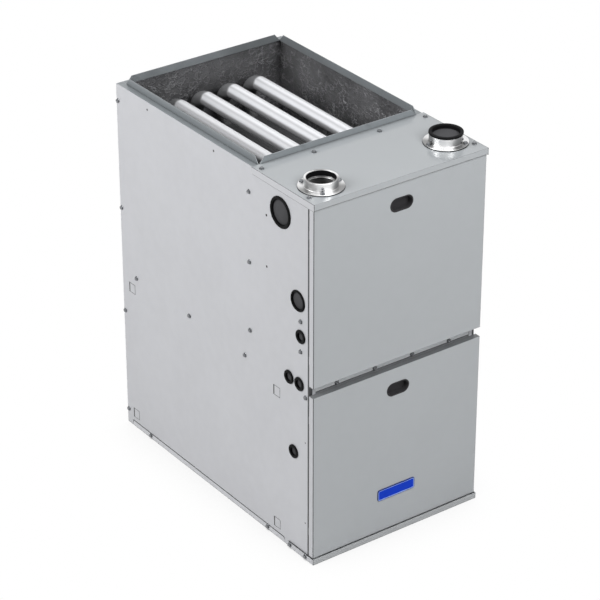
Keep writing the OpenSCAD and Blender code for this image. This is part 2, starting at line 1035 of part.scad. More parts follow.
// Blower deck with its side laps and the rails that the blower hangs from
module blower_deck() {
  color(steel_colour)
    difference() {
      union() {
        slab([-in_x, post_back_y, deck_low_z], [in_x, rear_y - sheet_t, deck_top_z]);
        both_sides()
          slab(
            [-in_x, post_y + corner_r, deck_top_z - deck_lip],
            [-in_x + sheet_t, rear_y - rear_lap - clear, deck_top_z]
          );
        both_sides()
          blower_rail();
      }
      both_sides()
        slab(
          [-in_x - over, rear_y - rear_lap - clear, deck_low_z - over],
          [-in_x + sheet_t, rear_y, deck_top_z + over]
        );
      slab(
        [-blower_w / 2, blower_y + tongue_y, deck_low_z - over],
        [blower_w / 2, blower_y + scroll_r1, deck_top_z + over]
      );
      wall_screw_bores();
    }
}

// One of the two rails under the deck that hold the blower's hanging lips
module blower_rail() {
  outer = blower_w / 2 + lip_w + clear;
  lip_low = blower_top_z - 2 * hang_t - clear;
  slab([-outer - hang_t, rail_y0, lip_low], [-outer, rail_y1, deck_low_z]);
  slab([-outer, rail_y0, lip_low], [-outer + hang_lip_w, rail_y1, lip_low + hang_t]);
}

// Vestibule panel between the burner compartment and the heat exchanger
module vestibule_panel() {
  color(steel_colour)
    difference() {
      union() {
        slab([-in_x, vest_y, deck_top_z], [in_x, vest_back_y, strip_z]);
        both_sides()
          slab([-in_x, vest_y, deck_top_z], [-in_x + sheet_t, vest_y + vest_lap, strip_z]);
        slab(
          [-flange_x + clear, vest_y - vest_top_lap, strip_z],
          [flange_x - clear, vest_back_y, top_z]
        );
      }
      for (x = tube_xs)
        rod_y(tube_r + hole_fit, vest_y - over, vest_back_y + over, x, tube_z);
      slab(
        [-coil_w / 2 + coil_open_in, vest_y - over, coil_z + coil_open_in],
        [coil_w / 2 - coil_open_in, vest_back_y + over, coil_top_z - coil_open_in]
      );
      wall_screw_bores();
      at_cover_screws()
        screw_bore();
    }
}

// Foil-faced liners on the two side walls of the heat exchanger compartment
module side_wall_liners() {
  color(foil_colour)
    difference() {
      both_sides()
        slab(
          [-in_x + sheet_t, vest_back_y, deck_top_z],
          [-in_x + sheet_t + liner_t, rear_y - sheet_t - liner_t, strip_z]
        );
      wall_screw_bores();
    }
}

// Foil-faced liner on the rear wall of the heat exchanger compartment
module rear_wall_liner() {
  half = in_x - sheet_t;
  color(foil_colour)
    difference() {
      slab([-half, rear_y - sheet_t - liner_t, deck_top_z], [half, rear_y - sheet_t, strip_z]);
      wall_screw_bores();
    }
}

// Plan of a door tray's outline with rounded front edges
module door_outline(half, y0, y1, r) {
  translate([-half, y0 + r])
    square([2 * half, y1 - y0 - r]);
  translate([-half + r, y0])
    square([2 * (half - r), y1 - y0]);
  for (side = [-1, 1])
    translate([side * (half - r), y0 + r])
      circle(r);
}

// A door tray between two heights, with the hole for its finger grip
module door_tray(z0, z1, grip_z) {
  difference() {
    translate([0, 0, z0])
      linear_extrude(z1 - z0)
        door_outline(door_w / 2, door_y, door_back_y, door_edge_r);
    translate([0, 0, z0 + sheet_t])
      linear_extrude(z1 - z0 - 2 * sheet_t)
        door_outline(door_w / 2 - sheet_t, door_in_y, door_back_y + over, door_edge_r - sheet_t);
    translate([0, 0, grip_z])
      in_xz(door_y - over, door_in_y + over)
        oval(grip_w - 2 * grip_rim + 2 * hole_fit, grip_h - 2 * grip_rim + 2 * hole_fit);
  }
}

// A finger grip: a rim on the door's face around an oval cup
module finger_grip(grip_z) {
  cup_w = grip_w - 2 * grip_rim;
  cup_h = grip_h - 2 * grip_rim;
  translate([0, 0, grip_z])
    difference() {
      union() {
        in_xz(door_y - grip_proud, door_y)
          oval(grip_w, grip_h);
        in_xz(door_y - grip_proud, door_y + grip_depth + grip_wall)
          oval(cup_w, cup_h);
      }
      in_xz(door_y - grip_proud - over, door_y + grip_depth)
        oval(cup_w - 2 * grip_wall, cup_h - 2 * grip_wall);
    }
}

module upper_door() {
  color(door_colour)
    door_tray(upper_door_z, upper_door_top, upper_grip_z);
}

module lower_door() {
  pad_y = post_y - plunger_out;
  color(door_colour) {
    door_tray(lower_door_z, lower_door_top, lower_grip_z);
    slab(
      [-door_switch_x - door_pad_w / 2, door_in_y - sheet_t / 2, door_switch_z - door_pad_h / 2],
      [-door_switch_x + door_pad_w / 2, pad_y - clear, door_switch_z + door_pad_h / 2]
    );
  }
}

module upper_door_grip() {
  color(black_colour)
    finger_grip(upper_grip_z);
}

module lower_door_grip() {
  color(black_colour)
    finger_grip(lower_grip_z);
}

// Bare nameplate with a raised border
module nameplate() {
  color(blue_colour)
    translate([0, 0, plate_z])
      difference() {
        in_xz(door_y - plate_t, door_y)
          round_plate(plate_w, plate_h, plate_r);
        in_xz(door_y - plate_t - over, door_y - plate_t + plate_field)
          round_plate(plate_w - 2 * plate_border, plate_h - 2 * plate_border, plate_r - plate_border);
      }
}

// Spring clips on the posts that hold the doors
module door_clips() {
  color(bright_colour)
    both_sides()
      for (z = clip_zs)
        translate([0, 0, z]) {
          slab(
            [-post_x - hem_w - clip_w, post_y - clip_t, -clip_h / 2],
            [-post_x - hem_w, post_y, clip_h / 2]
          );
          slab(
            [-post_x - hem_w - clip_w, door_in_y + clip_short, -clip_h / 2],
            [-post_x - hem_w - clip_w + clip_t, post_y, clip_h / 2]
          );
        }
}

// The children at the three flange screws of a collar, pointing up
module at_flange_screws(collar) {
  for (turn = collar[2])
    translate([collar[0], collar[1], flange_z + flange_t])
      rotate([0, 0, turn])
        translate([flange_screw_r, 0, 0])
          children();
}

// The children at the set screws in a collar's ring, pointing outwards
module at_set_screws(collar) {
  for (turn = collar[2])
    translate([collar[0], collar[1], set_screw_z])
      rotate([0, 0, turn])
        translate([collar_r, 0, 0])
          rotate([0, 90, 0])
            children();
}

// A collar that takes the end of a pipe: flange, ring, inner ledge, skirt and screw holes
module pipe_collar(collar) {
  difference() {
    translate([collar[0], collar[1], 0])
      difference() {
        union() {
          rod_z(collar_flange_r, flange_z, flange_z + flange_t, 0, 0);
          rod_z(collar_r, flange_z, collar_top_z, 0, 0);
          rod_z(skirt_r, top_z - skirt_drop, ledge_top_z, 0, 0);
        }
        rod_z(pipe_bore_r, ledge_top_z, collar_top_z + over, 0, 0);
        rod_z(ledge_bore_r, ledge_top_z - ledge_t - over, ledge_top_z + over, 0, 0);
        rod_z(skirt_bore_r, top_z - skirt_drop - over, ledge_top_z - ledge_t, 0, 0);
      }
    at_flange_screws(collar)
      screw_bore();
    at_set_screws(collar)
      set_screw_bore();
  }
}

module intake_collar() {
  color(bright_colour)
    pipe_collar(collars[0]);
}

module vent_collar() {
  color(bright_colour)
    pipe_collar(collars[1]);
}

// The hole of a set screw, through the ring
module set_screw_bore() {
  translate([0, 0, -(collar_r - pipe_bore_r) - over])
    cylinder(r = set_screw_r / 2 + hole_fit, h = collar_r - pipe_bore_r + 2 * over);
}

// A set screw: round head outside the ring, shank in it
module set_screw() {
  cylinder(r = set_screw_r, h = set_screw_len);
  translate([0, 0, -(collar_r - pipe_bore_r) + clear])
    cylinder(r = set_screw_r / 2, h = collar_r - pipe_bore_r);
}

module collar_gaskets() {
  color(black_colour)
    for (collar = collars)
      difference() {
        rod_z(collar_flange_r + clear, casing_h, flange_z, collar[0], collar[1]);
        rod_z(lid_hole_r, casing_h - over, flange_z + over, collar[0], collar[1]);
        at_flange_screws(collar)
          screw_bore();
      }
}

// Rubber cap in the vent collar
module vent_cap() {
  color(black_colour)
    translate([vent_x, vent_y, 0])
      difference() {
        union() {
          rod_z(cap_plug_r, collar_top_z - cap_plug_len, collar_top_z + cap_edge, 0, 0);
          rod_z(cap_rim_r - cap_edge, collar_top_z, collar_top_z + cap_rim_h, 0, 0);
          rod_z(cap_rim_r, collar_top_z, collar_top_z + cap_rim_h - cap_edge, 0, 0);
        }
        rod_z(
          cap_rim_r * cap_recess_share,
          collar_top_z + cap_rim_h - cap_recess_h,
          collar_top_z + cap_rim_h + over,
          0,
          0
        );
      }
}

// Profile of a hole plug: rim outside the wall, hub through it and a recessed face
module hole_plug(r) {
  difference() {
    union() {
      cylinder(r = r - plug_bevel, h = plug_proud);
      cylinder(r = r, h = plug_proud - plug_bevel);
      translate([0, 0, -plug_hub])
        cylinder(r = r - plug_lip - hole_fit, h = plug_hub + plug_bevel);
    }
    translate([0, 0, plug_proud - plug_recess])
      cylinder(r = r * plug_recess_share, h = plug_recess + over);
  }
}

module hole_plugs() {
  color(black_colour)
    both_sides()
      for (plug = plugs)
        translate([-wall_x, plug[1][0], plug[1][1]])
          rotate([0, -90, 0])
            hole_plug(plug[0]);
}

// A wire grommet: lips on both faces of the wall and a hub between them
module wire_grommet() {
  difference() {
    union() {
      cylinder(r = grommet_r - grommet_bevel, h = grommet_proud);
      cylinder(r = grommet_r, h = grommet_proud - grommet_bevel);
      translate([0, 0, -sheet_t - over])
        cylinder(r = grommet_r - grommet_lip - hole_fit, h = sheet_t + 2 * over);
      translate([0, 0, -sheet_t - grommet_inner])
        cylinder(r = grommet_r - grommet_bevel, h = grommet_inner);
    }
    translate([0, 0, -sheet_t - grommet_inner - over])
      cylinder(r = grommet_bore_r, h = sheet_t + grommet_inner + grommet_proud + 2 * over);
  }
}

module wire_grommets() {
  color(black_colour)
    both_sides()
      for (place = grommet_places)
        translate([-wall_x, place[0], place[1]])
          rotate([0, -90, 0])
            wire_grommet();
}

module casing_screws() {
  color(steel_colour) {
    both_sides()
      at_left_screws()
        sheet_screw();
    at_cover_screws()
      sheet_screw();
    at_mid_rail_screws()
      sheet_screw();
  }
}

module collar_screws() {
  color(steel_colour)
    for (collar = collars) {
      at_flange_screws(collar)
        sheet_screw();
      at_set_screws(collar)
        set_screw();
    }
}

// The flat ring that a tube's wall follows
module tube_ring() {
  difference() {
    circle(tube_r);
    circle(tube_r - tube_wall);
  }
}

// A straight pass of a tube from y0 to y1
module tube_pass(y0, y1, z) {
  translate([0, 0, z])
    in_xz(y0, y1)
      tube_ring();
}

// A half-turn bend of a tube with radius r: turn is 0 for a rear bend and 180 for a front one
module tube_bend(r, y, z, turn) {
  translate([0, y, z])
    rotate([0, 90, turn])
      rotate_extrude(angle = 180)
        translate([r, 0])
          tube_ring();
}

// The serpentine heat exchanger tubes
module heat_exchanger_tubes() {
  color(bright_colour)
    for (x = tube_xs)
      translate([x, 0, 0]) {
        tube_pass(vest_y - tube_poke, bend_rear_y, tube_z);
        tube_bend(rear_bend_r, bend_rear_y, tube_z - rear_bend_r, 0);
        tube_pass(bend_front_y, bend_rear_y, pass_2_z);
        tube_bend(front_bend_r, bend_front_y, pass_2_z - front_bend_r, 180);
        tube_pass(bend_front_y, coil_rear_y + sheet_t + tube_poke, pass_3_z);
      }
}

// Plate that keeps the lower two passes of each tube apart
module tube_spacer() {
  half = collector_w / 2;
  color(steel_colour)
    difference() {
      slab(
        [-half, spacer_y, pass_3_z - tube_r / 2],
        [half, spacer_y + spacer_d, pass_2_z + tube_r / 2]
      );
      for (x = tube_xs)
        for (z = [pass_2_z, pass_3_z])
          rod_y(tube_r + hole_fit, spacer_y - over, spacer_y + spacer_d + over, x, z);
    }
}

// Box that takes the hot gas from the tubes down to the condensing coil
module rear_collector_box() {
  half = collector_w / 2;
  y1 = coil_rear_y + collector_d;
  color(steel_colour)
    difference() {
      slab([-half, coil_rear_y, coil_z], [half, y1, collector_top_z]);
      slab(
        [-half + sheet_t, coil_rear_y + sheet_t, coil_z + sheet_t],
        [half - sheet_t, y1 - sheet_t, collector_top_z - sheet_t]
      );
      slab(
        [-coil_w / 2 + coil_open_in, coil_rear_y - over, coil_z + coil_open_in],
        [coil_w / 2 - coil_open_in, coil_rear_y + sheet_t + over, coil_top_z - coil_open_in]
      );
      for (x = tube_xs)
        rod_y(tube_r + hole_fit, coil_rear_y - over, coil_rear_y + sheet_t + over, x, pass_3_z);
    }
}

// The tubes of the coil as bars of one radius from y0 to y1
module coil_bars(r, y0, y1) {
  edge = coil_margin + coil_tube_r;
  for (i = [0 : coil_columns - 1])
    for (j = [0 : coil_rows - 1])
      rod_y(
        r,
        y0,
        y1,
        -coil_w / 2 + edge + i * (coil_w - 2 * edge) / (coil_columns - 1),
        coil_z + 2 * edge + j * (coil_h - 4 * edge) / (coil_rows - 1)
      );
}

// Finned condensing coil below the tubes
module condensing_coil() {
  half = coil_w / 2;
  fin_step = (coil_rear_y - vest_back_y) / (coil_fins + 1);
  color(bright_colour)
    difference() {
      union() {
        for (y = [vest_back_y, coil_rear_y - sheet_plate_t])
          slab([-half, y, coil_z], [half, y + sheet_plate_t, coil_top_z]);
        both_sides()
          slab([-half, vest_back_y, coil_z], [-half + sheet_t, coil_rear_y, coil_top_z]);
        for (i = [1 : coil_fins])
          translate([0, vest_back_y + i * fin_step, 0])
            slab([-half, 0, coil_z], [half, fin_t, coil_top_z]);
        coil_bars(coil_tube_r, vest_back_y, coil_rear_y);
      }
      coil_bars(coil_tube_r - coil_tube_wall, vest_back_y - over, coil_rear_y + over);
    }
}

// Brackets that carry the coil on the deck
module coil_brackets() {
  half = coil_w / 2;
  color(steel_colour)
    for (y = [vest_back_y + bracket_in, coil_rear_y - bracket_in]) {
      slab([-half, y, deck_top_z], [half, y + bracket_t, coil_z]);
      slab([-half, y, deck_top_z], [half, y + bracket_foot, deck_top_z + bracket_t]);
    }
}

// Cold header: the box in front of the coil that the inducer draws from
module cold_header() {
  top = coil_top_z + header_rim;
  color(dark_colour)
    difference() {
      slab([-header_left, vest_y - header_d, header_z], [header_right, vest_y, top]);
      slab(
        [-header_left + header_rim, vest_y - header_d + header_rim, header_z + header_rim],
        [header_right - header_rim, vest_y + over, top - header_rim]
      );
      inducer_rod(inducer_inlet_r, vest_y - header_d - over, vest_y - header_d + header_rim + over);
      rod_z(trap_port_r - sheet_t, header_z - over, header_z + header_rim + over, -trap_x, trap_y);
    }
}

// Burner box on the vestibule panel
module burner_box() {
  half = box_w / 2;
  color(steel_colour)
    difference() {
      slab([-half, box_front_y, box_z], [half, vest_y, box_top_z]);
      slab(
        [-half + sheet_t, box_front_y + sheet_t, box_z + sheet_t],
        [half - sheet_t, vest_y + over, box_top_z - sheet_t]
      );
      for (x = tube_xs)
        rod_y(orifice_hole_r, box_front_y - over, box_front_y + sheet_t + over, x, tube_z);
      both_sides()
        rod_x(probe_r + hole_fit, -half - over, -half + sheet_t + over, probe_y, probe_z);
    }
}

// The venturi of a burner as a solid, drawn in by an inset, with its ends further out
module burner_body(throat, inset, past) {
  translate([0, box_front_y + burner_gap, tube_z])
    rotate([-90, 0, 0])
      rotate_extrude()
        polygon([
          [0, -past],
          [burner_bell_r - inset, -past],
          [burner_throat_r - inset, throat],
          [burner_out_r - inset, burner_len + past],
          [0, burner_len + past]
        ]);
}

// One burner: a hollow venturi on a foot
module burner() {
  throat = burner_len * burner_bell_share;
  foot_y = box_front_y + burner_gap + throat;
  difference() {
    union() {
      burner_body(throat, 0, 0);
      slab(
        [-burner_foot_w / 2, foot_y, box_z + sheet_t],
        [burner_foot_w / 2, foot_y + burner_foot_d, tube_z - burner_throat_r / 2]
      );
    }
    burner_body(throat, burner_wall, over);
  }
}

module burners() {
  color(bright_colour)
    for (x = tube_xs)
      translate([x, 0, 0])
        burner();
}

// Gas manifold with a boss for each orifice, its riser and its mounting tabs
module gas_manifold() {
  valve_top_z = valve_z + valve_h / 2 + valve_cap_h;
  color(dark_colour)
    difference() {
      union() {
        rod_x(manifold_r, -manifold_half, manifold_half, manifold_y, tube_z);
        for (x = tube_xs)
          rod_y(boss_r, manifold_y, manifold_y + manifold_r + boss_len, x, tube_z);
        rod_z(riser_r, valve_top_z, tube_z, -riser_x, manifold_y);
        both_sides()
          slab(
            [manifold_tab_x, manifold_y, tube_z - manifold_tab_h / 2],
            [manifold_tab_x + manifold_tab_w, box_front_y, tube_z + manifold_tab_h / 2]
          );
      }
      rod_x(
        manifold_bore_r,
        -manifold_half + manifold_wall,
        manifold_half - manifold_wall,
        manifold_y,
        tube_z
      );
      rod_z(riser_r - manifold_wall, valve_top_z - over, tube_z, -riser_x, manifold_y);
    }
}

// Brass orifices on the manifold, one for each burner
module gas_orifices() {
  hex_y = manifold_y + manifold_r + boss_len;
  color(brass_colour)
    for (x = tube_xs)
      difference() {
        union() {
          translate([x, hex_y, tube_z])
            rotate([-90, 0, 0])
              cylinder(r = orifice_hex_r, h = orifice_hex_len, $fn = 6);
          rod_y(orifice_tip_r, hex_y, box_front_y + sheet_t + over, x, tube_z);
        }
        rod_y(orifice_jet_r, hex_y - over, box_front_y + sheet_t + 2 * over, x, tube_z);
      }
}

// Gas valve body with its inlet boss, actuator cap and outlet
module gas_valve() {
  half = [valve_w / 2, valve_d / 2, valve_h / 2];
  inlet_x = -half[0] - inlet_boss_len;
  color(steel_colour)
    difference() {
      translate([-riser_x, valve_y, valve_z])
        difference() {
          union() {
            slab(-half, half);
            rod_x(inlet_boss_r, inlet_x, -half[0] + over, 0, 0);
            rod_z(valve_cap_r, half[2] - over, half[2] + valve_cap_h, 0, 0);
          }
          rod_x(gas_inlet_r, inlet_x - over, inlet_x + inlet_depth, 0, 0);
        }
      knob_rod(knob_stem_r + run_fit, -over, knob_stem_len + over);
    }
}

// A round bar on the knob's axis, from y0 to y1 behind the valve's front face
module knob_rod(r, y0, y1) {
  rod_y(r, valve_front_y + y0, valve_front_y + y1, -knob_x, knob_z);
}

// On and off knob of the gas valve, with its stem
module gas_valve_knob() {
  color(black_colour) {
    knob_rod(knob_r, -clear - knob_h, -clear);
    knob_rod(knob_stem_r, -clear - over, knob_stem_len);
    translate([-knob_x, valve_front_y - clear - knob_h, knob_z])
      slab([clear - knob_r, -knob_bar_h, -knob_bar_w / 2], [knob_r - clear, over, knob_bar_w / 2]);
  }
}

// A probe through the left wall of the burner box, with its holder outside
module box_probe() {
  half = box_w / 2;
  slab(
    [-half - probe_block, probe_y - probe_block_w / 2, probe_z - probe_block_w / 2],
    [-half, probe_y + probe_block_w / 2, probe_z + probe_block_w / 2]
  );
  rod_x(probe_r, -half - over, -half + probe_in, probe_y, probe_z);
}

module igniter() {
  color(white_colour)
    mirror([1, 0, 0])
      box_probe();
}

module flame_sensor() {
  color(white_colour)
    box_probe();
}

// Rollout switch on the left wall of the burner box
module rollout_switch() {
  face = -box_w / 2 - rollout_h;
  bore_end = face + button_in + button_travel + clear;
  color(bright_colour)
    difference() {
      rod_x(rollout_r, face, face + rollout_h, rollout_y, tube_z);
      rod_x(button_r + run_fit, face - over, bore_end, rollout_y, tube_z);
    }
}

module rollout_reset_button() {
  face = -box_w / 2 - rollout_h;
  color(red_colour)
    rod_x(button_r, face - button_out, face + button_in, rollout_y, tube_z);
}

// A round bar from y0 to y1 on the axis of the inducer
module inducer_rod(r, y0, y1) {
  rod_y(r, y0, y1, inducer_x, inducer_z);
}

// Inducer housing: a round chamber with an inlet behind and a pipe socket on top
module inducer_housing() {
  socket_top = inducer_z + socket_top_rise;
  color(dark_colour)
    difference() {
      union() {
        inducer_rod(inducer_r, inducer_front_y, inducer_rear_y);
        rod_z(socket_r + socket_wall, inducer_z, socket_top, vent_x, inducer_mid_y);
      }
      inducer_rod(
        inducer_r - inducer_wall,
        inducer_front_y + inducer_wall,
        inducer_rear_y - inducer_wall
      );
      inducer_rod(inducer_inlet_r, inducer_rear_y - inducer_wall - over, inducer_rear_y + over);
      inducer_rod(shaft_hole_r, inducer_front_y - over, inducer_front_y + inducer_wall + over);
      rod_z(inducer_inlet_r - inducer_wall, inducer_z, socket_top, vent_x, inducer_mid_y);
      rod_z(socket_r, socket_top - socket_depth, socket_top + over, vent_x, inducer_mid_y);
    }
}

// Inducer wheel with its blades, hub and shaft
module inducer_wheel() {
  disc_y = inducer_front_y + inducer_wall + 2 * inducer_disc_t;
  color(steel_colour)
    translate([inducer_x, 0, inducer_z]) {
      rod_y(inducer_wheel_r, disc_y, disc_y + inducer_disc_t, 0, 0);
      rod_y(inducer_hub_r, disc_y, disc_y + inducer_hub_r, 0, 0);
      rod_y(inducer_shaft_r, inducer_front_y - inducer_shaft_in, disc_y + over, 0, 0);
      for (i = [0 : inducer_blades - 1])
        rotate([0, i * 360 / inducer_blades, 0])
          slab(
            [inducer_hub_r - over, disc_y + inducer_disc_t / 2, -inducer_blade_t / 2],
            [inducer_wheel_r - over, disc_y + inducer_blade_d, inducer_blade_t / 2]
          );
    }
}

// Inducer motor in front of its housing, with the bore for the shaft
module inducer_motor() {
  y0 = inducer_front_y - inducer_motor_len;
  color(black_colour)
    difference() {
      union() {
        inducer_rod(inducer_motor_r, y0, inducer_front_y);
        inducer_rod(inducer_fan_r, y0 - inducer_fan_len, y0 + over);
      }
      inducer_rod(
        inducer_shaft_r + run_fit,
        inducer_front_y - inducer_shaft_in - clear,
        inducer_front_y + over
      );
    }
}

// The middle line of the internal vent pipe as a solid of one radius
module vent_run(r, z0, z1) {
  jog = [0, vent_y - inducer_mid_y, pipe_jog_top - pipe_jog_z];
  translate([vent_x, inducer_mid_y, 0]) {
    rod_z(r, z0, pipe_jog_z, 0, 0);
    translate([0, 0, pipe_jog_z]) {
      sphere(r);
      rotate([atan2(-jog[1], jog[2]), 0, 0])
        cylinder(r = r, h = norm(jog));
      translate(jog)
        sphere(r);
    }
    rod_z(r, pipe_jog_top, z1, 0, jog[1]);
  }
}

module vent_pipe() {
  top = ledge_top_z - ledge_t - clear;
  color(white_colour)
    difference() {
      vent_run(pipe_r, pipe_low_z + clear, top);
      vent_run(pipe_r - pipe_wall, pipe_low_z - over, top + over);
    }
}

// Pressure switch on its bracket on the vestibule panel
module pressure_switch() {
  half = [switch_tab_w / 2, sheet_t / 2, switch_tab_h / 2];
  color(dark_colour)
    translate([-switch_x, vest_y, switch_z]) {
      rod_y(switch_disc_r, -switch_disc_h, -half[1], 0, 0);
      rod_y(switch_port_r, -switch_disc_h - switch_port_len, over - switch_disc_h, 0, 0);
      slab([-half[0], -sheet_t, -half[2]], [half[0], 0, half[2]]);
    }
}

// Condensate trap on the deck, with its port up to the cold header and its drain barb
module condensate_trap() {
  top = header_z - trap_port_len;
  half = trap_w / 2;
  barb_z = top - trap_barb_drop;
  color(black_colour)
    translate([-trap_x, trap_y, 0])
      difference() {
        union() {
          slab([-half, -trap_d / 2, deck_top_z], [half, trap_d / 2, top]);
          rod_z(trap_port_r, top - over, header_z, 0, 0);
          rod_x(trap_barb_r, -half - trap_barb_len, over - half, 0, barb_z);
        }
        rod_z(trap_port_r - sheet_t, barb_z, header_z + over, 0, 0);
        rod_x(trap_barb_r - 2 * sheet_t, -half - trap_barb_len - over, 0, 0, barb_z);
      }
}

// Side view of the blower scroll, drawn in by an inset, up to the outlet
module scroll_outline(inset) {
  turns = [
    for (i = [0 : scroll_steps])
      tongue_turn + i * (360 - tongue_turn) / scroll_steps
  ];
  spiral = [
    for (a = turns)
      let (r = scroll_r0 + (scroll_r1 - scroll_r0) * (a - tongue_turn) / (360 - tongue_turn) - inset)
        [blower_y + r * cos(a), blower_z + r * sin(a)]
  ];
  polygon(concat(
    [[blower_y + tongue_y + inset, blower_top_z]],
    spiral,
    [[blower_y + scroll_r1 - inset, blower_top_z]]
  ));
}

// Blower housing: scroll wrap, two side plates with their inlets, and the hanging lips
module blower_housing() {
  half = blower_w / 2;
  color(steel_colour)
    difference() {
      union() {
        difference() {
          in_yz(-half, half)
            scroll_outline(0);
          in_yz(-half + housing_t, half - housing_t)
            union() {
              scroll_outline(housing_t);
              translate([blower_y + tongue_y + housing_t, blower_top_z - over])
                square([scroll_r1 - tongue_y - 2 * housing_t, 2 * over]);
            }
        }
        both_sides() {
          rod_x(inlet_r + housing_t, -half, -half + bell_len, blower_y, blower_z);
          slab(
            [-half - lip_w, blower_y + tongue_y, blower_top_z - hang_t],
            [-half + housing_t / 2, blower_y + scroll_r1, blower_top_z]
          );
        }
      }
      both_sides()
        rod_x(inlet_r, -half - over, -half + bell_len + over, blower_y, blower_z);
    }
}

// Blower wheel: two rows of forward blades on a centre disc, with hub and shaft
module blower_wheel() {
  half = blower_w / 2 - wheel_end_gap;
  blade_r = blower_wheel_r - wheel_ring_w;
  color(steel_colour)
    translate([0, blower_y, blower_z]) {
      difference() {
        union() {
          for (x = [-half, half - wheel_ring_t])
            rod_x(blower_wheel_r, x, x + wheel_ring_t, 0, 0);
        }
        rod_x(blade_r, -half - over, half + over, 0, 0);
      }
      rod_x(blade_r + wheel_ring_w / 2, -wheel_ring_t / 2, wheel_ring_t / 2, 0, 0);
      for (i = [0 : blade_count - 1])
        rotate([i * 360 / blade_count, 0, 0])
          translate([0, blade_r + clear, 0])
            rotate([blade_tilt, 0, 0])
              slab(
                [-half + wheel_ring_t / 2, 0, 0],
                [half - wheel_ring_t / 2, wheel_ring_w - 2 * blade_t, blade_t]
              );
      rod_x(wheel_hub_r, -wheel_ring_t, wheel_hub_l, 0, 0);
      rod_x(blower_shaft_r, -motor_gap - shaft_in, wheel_hub_l + blade_t, 0, 0);
    }
}

// Blower motor inside the left inlet, with the bore that its shaft turns in
module blower_motor() {
  end = -motor_gap - motor_l;
  color(black_colour)
    translate([0, blower_y, blower_z])
      difference() {
        union() {
          rod_x(motor_r, end, -motor_gap, 0, 0);
          rod_x(motor_r / 2, end - motor_gap, end + over, 0, 0);
        }
        rod_x(blower_shaft_r + run_fit, -motor_gap - shaft_in - clear, -motor_gap + over, 0, 0);
      }
}

// Motor mount: a band around the motor and arms to the housing's side plate
module motor_mount() {
  half = blower_w / 2;
  color(steel_colour)
    translate([0, blower_y, blower_z])
      difference() {
        union() {
          rod_x(motor_r + band_t, -half - band_w / 2, -half + band_w / 2, 0, 0);
          for (i = [0 : arm_count - 1])
            rotate([i * 360 / arm_count + 90, 0, 0])
              slab([-half - arm_t, 0, -arm_w / 2], [-half, inlet_r + arm_lap, arm_w / 2]);
        }
        rod_x(motor_r, -half - band_w, -half + band_w, 0, 0);
      }
}

// Bracket under the deck that carries the controls
module control_bracket() {
  color(steel_colour) {
    slab(
      [-control_left, control_y, deck_low_z - control_h],
      [control_right, control_y + sheet_t, deck_low_z]
    );
    slab(
      [-control_left, control_y, deck_low_z - sheet_t],
      [control_right, control_y + control_lip, deck_low_z]
    );
  }
}

// Control board on its standoffs, with relays, a plug row and a fuse
module control_board() {
  x0 = control_right - board_l - board_edge;
  z0 = deck_low_z - control_h + board_edge;
  y1 = control_y - board_off;
  y0 = y1 - board_t;
  color(board_colour) {
    slab([x0, y0, z0], [x0 + board_l, y1, z0 + board_h]);
    for (x = [x0 + board_edge, x0 + board_l - board_edge])
      for (z = [z0 + board_edge, z0 + board_h - board_edge])
        rod_y(standoff_r, y1 - board_t / 2, control_y, x, z);
    for (i = [0 : 2])
      translate([x0 + 2 * board_edge + i * relay_step, 0, z0 + 2 * board_edge])
        slab([0, y0 - relay_d, 0], [relay_l, y0 + board_t / 2, relay_h]);
    for (i = [0 : 1])
      translate([x0 + 2 * board_edge + i * (plug_l + board_edge), 0, z0 + board_h - 3 * board_edge])
        slab([0, y0 - plug_d, 0], [plug_l, y0 + board_t / 2, plug_h]);
    rod_y(fuse_r, y0 - fuse_h, y0 + board_t / 2, x0 + board_l - 3 * board_edge, z0 + board_h / 2);
  }
}

// Transformer on the control bracket: laminated core, winding and feet
module transformer() {
  x0 = -control_left + trans_foot;
  z0 = deck_low_z - control_h + trans_foot;
  core_y0 = control_y - trans_d * (1 + trans_core_share) / 2;
  core_y1 = control_y - trans_d * (1 - trans_core_share) / 2;
  color(dark_colour) {
    slab([x0, core_y0, z0], [x0 + trans_w, core_y1, z0 + trans_h]);
    slab(
      [x0 + trans_foot, control_y - trans_d, z0 + trans_foot],
      [x0 + trans_w - trans_foot, control_y, z0 + trans_h - trans_foot]
    );
    for (z = [z0, z0 + trans_h - trans_foot])
      slab([x0, control_y - trans_foot_t, z], [x0 + trans_w, control_y, z + trans_foot]);
    for (z = [z0, z0 + trans_h - trans_foot_t])
      slab([x0, core_y1 - over, z], [x0 + trans_w, control_y, z + trans_foot_t]);
  }
}

// Door switch hung from the deck behind the lower door, with the plunger's bore
module door_switch() {
  x0 = -door_switch_x - door_switch_w / 2;
  x1 = -door_switch_x + door_switch_w / 2;
  y0 = post_y + door_switch_back;
  color(white_colour)
    difference() {
      union() {
        slab(
          [x0, y0, door_switch_z - door_switch_h / 2],
          [x1, y0 + door_switch_d, door_switch_z + door_switch_h / 2]
        );
        slab([x0, y0 + door_switch_d - sheet_t, door_switch_z], [x1, y0 + door_switch_d, deck_low_z]);
      }
      rod_y(
        plunger_r + run_fit,
        y0 - over,
        post_y + plunger_in + plunger_travel + clear,
        -door_switch_x,
        door_switch_z
      );
    }
}

module door_switch_plunger() {
  color(black_colour)
    rod_y(plunger_r, post_y - plunger_out, post_y + plunger_in, -door_switch_x, door_switch_z);
}

